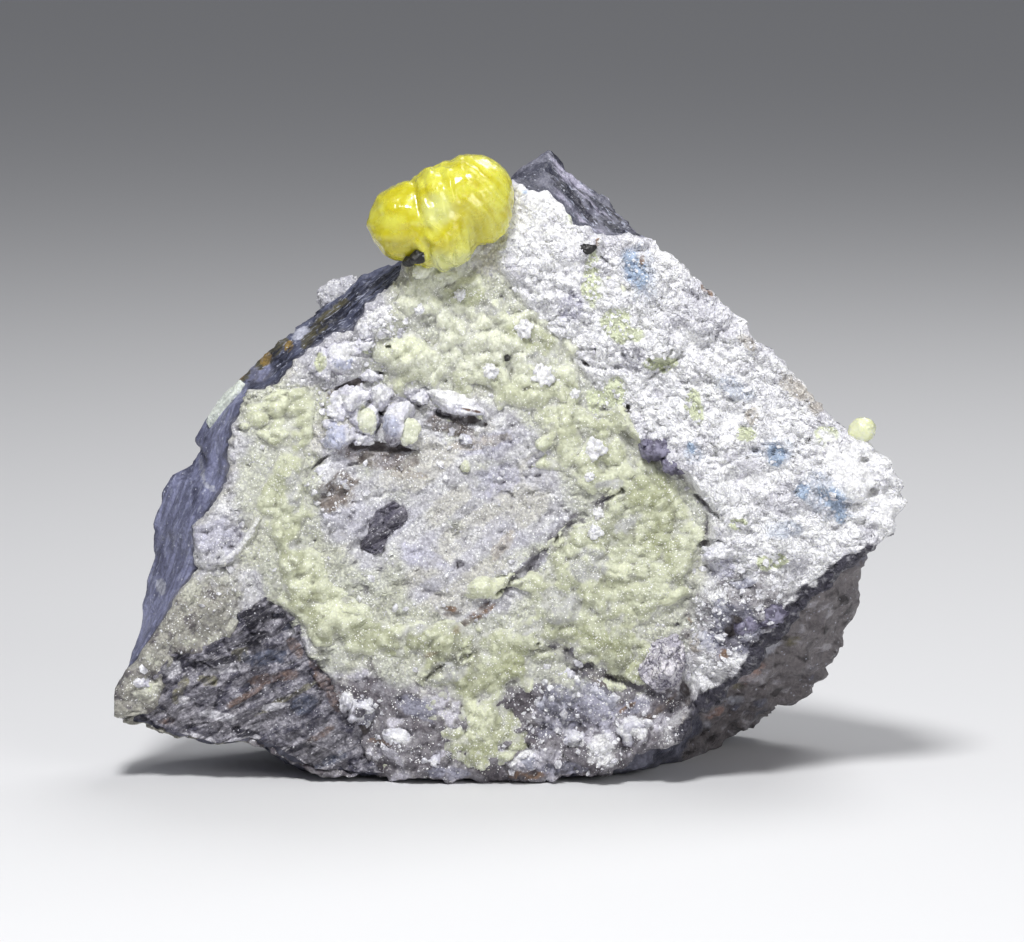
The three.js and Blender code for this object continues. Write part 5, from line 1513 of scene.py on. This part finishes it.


# waxy brucite: yellow clouds, deeper and paler where the masks ask (paler includes a painted highlight), pale
# ribs and edges, light carried a few millimetres through and some passed straight on, under a glossy skin
def bruciteMaterial(name, look):
    material = bpy.data.materials.new(name)
    material.use_nodes = True
    tree = material.node_tree
    tree.nodes.clear()
    where = put(tree, "TexCoord").outputs["Object"]
    colour = mix(tree, cloudMask(tree, where, look["clouds"], 0.38, 0.64), look["deep"], look["body"])
    colour = mix(tree, calc(tree, "MULTIPLY", stored(tree, "deep"), 0.8), colour, look["deep"])
    colour = mix(tree, calc(tree, "MULTIPLY", stored(tree, "edge"), 0.5), colour, look["rib"])
    colour = mix(tree, calc(tree, "MULTIPLY", stored(tree, "pale"), 0.8), colour, look["pale"])
    turned = put(tree, "Mapping", {"Vector": where, "Rotation": (0, 0.5, 0)}).outputs[0]
    ribs = put(tree, "Group", {"Vector": turned, "Size": look["ribs"]}, node_tree=bedding)
    colour = mix(tree, calc(tree, "MULTIPLY", ribs.outputs["Thread"], 0.25), colour, look["rib"])
    skin = put(tree, "Group", {"Vector": where, "Size": 1.6}, node_tree=crinkle).outputs["Height"]
    relief = calc(tree, "MULTIPLY_ADD", ribs.outputs["Height"], 0.8, skin)
    bump = put(tree, "Bump", {"Strength": 1, "Distance": look["bump"] * mm, "Height": relief})
    rough = calc(tree, "MULTIPLY_ADD", cloudMask(tree, where, 1.4, 0.4, 0.65), 0.2, look["rough"])
    shader = put(tree, "BsdfPrincipled", {
        "Base Color": colour, "Roughness": rough, "Normal": bump.outputs[0], "IOR": 1.57,
        "Subsurface Weight": 0.8, "Subsurface Radius": (1, 1, 0.35), "Subsurface Scale": look["reach"] * mm,
        "Transmission Weight": look["clear"], "Coat Weight": 0.75, "Coat Roughness": 0.1,
    })
    tree.links.new(shader.outputs[0], put(tree, "OutputMaterial").inputs[0])
    return material


bruciteLook = {
    "body": tone(234, 232, 92), "deep": tone(212, 202, 30), "pale": tone(232, 236, 164),
    "rib": tone(242, 243, 146),
    "clouds": 3, "ribs": 1.1, "bump": 0.04, "rough": 0.14, "reach": 2, "clear": 0.2,
}
brucite = bruciteMaterial("brucite", bruciteLook)
makePiece("nodule_surface", points, faces, brucite, "brucite", replaced=["brucite_nodule"], **noduleMasks)

print("bead")
beadMiddle = np.array([48.9, -15.6, 49.2])
rays, faces = ball(36)
reach = lobesReach(rays, [(0, 0, 0, 1.7), (-0.8, 0, -0.6, 1.3)], 2.2) + 0.08 * noise(*(rays.T * 3))
beadLook = dict(
    bruciteLook, body=tone(228, 231, 198), deep=tone(216, 219, 180), pale=tone(234, 236, 212),
    rib=tone(240, 241, 222),
    clouds=1.4, reach=0.5, bump=0.06, clear=0, rough=0.3,
)
beadMaterial = bruciteMaterial("pale brucite", beadLook)
beadGrains = dict(druseLook, light=tone(238, 240, 222), dark=tone(222, 225, 202), clouds=1.2)
points = rays * reach[:, None] + beadMiddle
noMask = np.zeros(len(points))
makePiece("bead_surface", points, faces, beadMaterial, "bead", replaced=["brucite_bead"],
          deep=noMask, pale=noMask, edge=noMask)


print("small beads, dark chip and grains")
# pale beads on the lumps and the drop under the nodule: x, z, half width, half height, stand out, turn
smallBeads = [(-12.3, 71.4, 1.3, 1, 2.2, 30), (-19.9, 50.5, 1.3, 1.8, 1.7, 0),
              (-14, 49.1, 1.4, 1.8, 2.1, -20), (-11.3, 72, 0.9, 0.9, 2, 0)]
beads = []
for x, z, wide, high, stand, turn in smallBeads:
    rays, faces = ball(18)
    _, bumps = cells3(*(rays.T * 2.6 + x), 61)
    swell = 0.95 + 0.2 * noise(*(rays.T * 1.6 + x)) + 0.14 * bumps + 0.06 * noise(*(rays.T * 5 + z))
    c, s = math.cos(math.radians(turn)), math.sin(math.radians(turn))
    bead = (rays * [wide, 0.9, high] * swell[:, None]) @ np.array([[c, 0, s], [0, 1, 0], [-s, 0, c]])
    beads.append((bead + [x, rockFrontY(x, z) - crustBase(x, z) - stand, z], faces))
points, faces = together(beads)
makePiece("small_beads", points, faces, mineral("bead grains", beadGrains), "bead")
grainLook = {key: value for key, value in stoneLook.items() if key != "beds"}
darkLook = dict(grainLook, light=tone(30, 28, 30), dark=tone(14, 13, 16), rough=0.35, share=0.03)
# x, z, half width, half height, how far out, turn, y
darkBits = [(-12.8, 73.8, 1.3, 0.9, 1.2, 15, -19.8), (-14.1, 73, 0.8, 0.6, 0.9, 0, -19.1),
            (10.4, 74.3, 1.2, 0.7, 0.9, 20, -15.6),
            (-0.5, 59.3, 0.5, 0.5, 0.5, 0, -16.4)]
points, faces = together([lump(*bit[:6], y=bit[6], cells=16, rough=0.2, sharp=24) for bit in darkBits])
makePiece("dark_grains", points, faces, mineral("dark grains", darkLook), "serpentinite")
purpleLook = dict(grainLook, light=tone(158, 154, 176), dark=tone(88, 84, 102), clouds=1.6, share=0.12,
                  tilt=0.6)
# blocks of the same rock set in the crust: x, z, half width, half height, how far out, turn
purpleBits = [(20.2, 46.6, 2.1, 1.5, 2.2, -30), (22.4, 44.6, 1.5, 1.1, 1.8, -50),
              (18.8, 47.4, 0.8, 0.8, 1.4, 10),
              (35.2, 23.8, 2.8, 1.9, 3.2, -15), (33, 22.4, 1.6, 1.2, 2.6, 20)]
points, faces = together([lump(*entry, cells=34, rough=0.9, sharp=26) for entry in purpleBits])
makePiece("purple_blocks", points, faces, mineral("purple blocks", purpleLook), "serpentinite")

print("stage")
floorMaterial = bpy.data.materials.new("floor")
floorMaterial.use_nodes = True
floorTree = floorMaterial.node_tree
floorTree.nodes["Principled BSDF"].inputs["Base Color"].default_value = (0.72, 0.72, 0.73, 1)
floorTree.nodes["Principled BSDF"].inputs["Roughness"].default_value = 0.85
floorMesh = bpy.data.meshes.new("floor")
floorMesh.from_pydata([(-2, -2, 0), (2, -2, 0), (2, 2, 0), (-2, 2, 0)], [], [(0, 1, 2, 3)])
floorMesh.materials.append(floorMaterial)
floor = bpy.data.objects.new("floor", floorMesh)
bpy.context.scene.collection.objects.link(floor)

world = bpy.data.worlds.new("studio")
world.use_nodes = True
world.node_tree.nodes["Background"].inputs["Color"].default_value = (0.92, 0.94, 1, 1)
world.node_tree.nodes["Background"].inputs["Strength"].default_value = 0.2
bpy.context.scene.world = world
bpy.context.scene.view_settings.view_transform = "Standard"


# soft lamp of a size and power at a place, turned towards the specimen
def lamp(name, place, size, power, colour=(1, 1, 1)):
    light = bpy.data.lights.new(name, "AREA")
    light.shape, light.size, light.energy, light.color = "DISK", size, power, colour
    shown = bpy.data.objects.new(name, light)
    shown.location = place
    shown.rotation_euler = (Vector((0, 0, 0.04)) - Vector(place)).to_track_quat("-Z", "Y").to_euler()
    bpy.context.scene.collection.objects.link(shown)


lamp("key", (-0.07, -0.36, 0.56), 0.16, 3.7)
lamp("fill", (0.5, -0.62, 0.3), 0.4, 1.5)
lamp("top", (0.2, 0.3, 0.6), 0.35, 1.6)

view = {"width": 141.7, "lens": 200, "sensor": 36, "tilt": 8, "aim": (0.14, -18, 43.7)}
distance = view["width"] * view["lens"] / view["sensor"]
tilt = math.radians(view["tilt"])
camera = bpy.data.objects.new("camera", bpy.data.cameras.new("camera"))
camera.data.lens, camera.data.sensor_width = view["lens"], view["sensor"]
camera.data.clip_start, camera.data.clip_end = 0.05, 20
away = np.array([0, -math.cos(tilt), math.sin(tilt)]) * distance
camera.location = Vector((np.array(view["aim"]) + away) * mm)
camera.rotation_euler = (math.radians(90 - view["tilt"]), 0, 0)
bpy.context.scene.collection.objects.link(camera)
bpy.context.scene.camera = camera
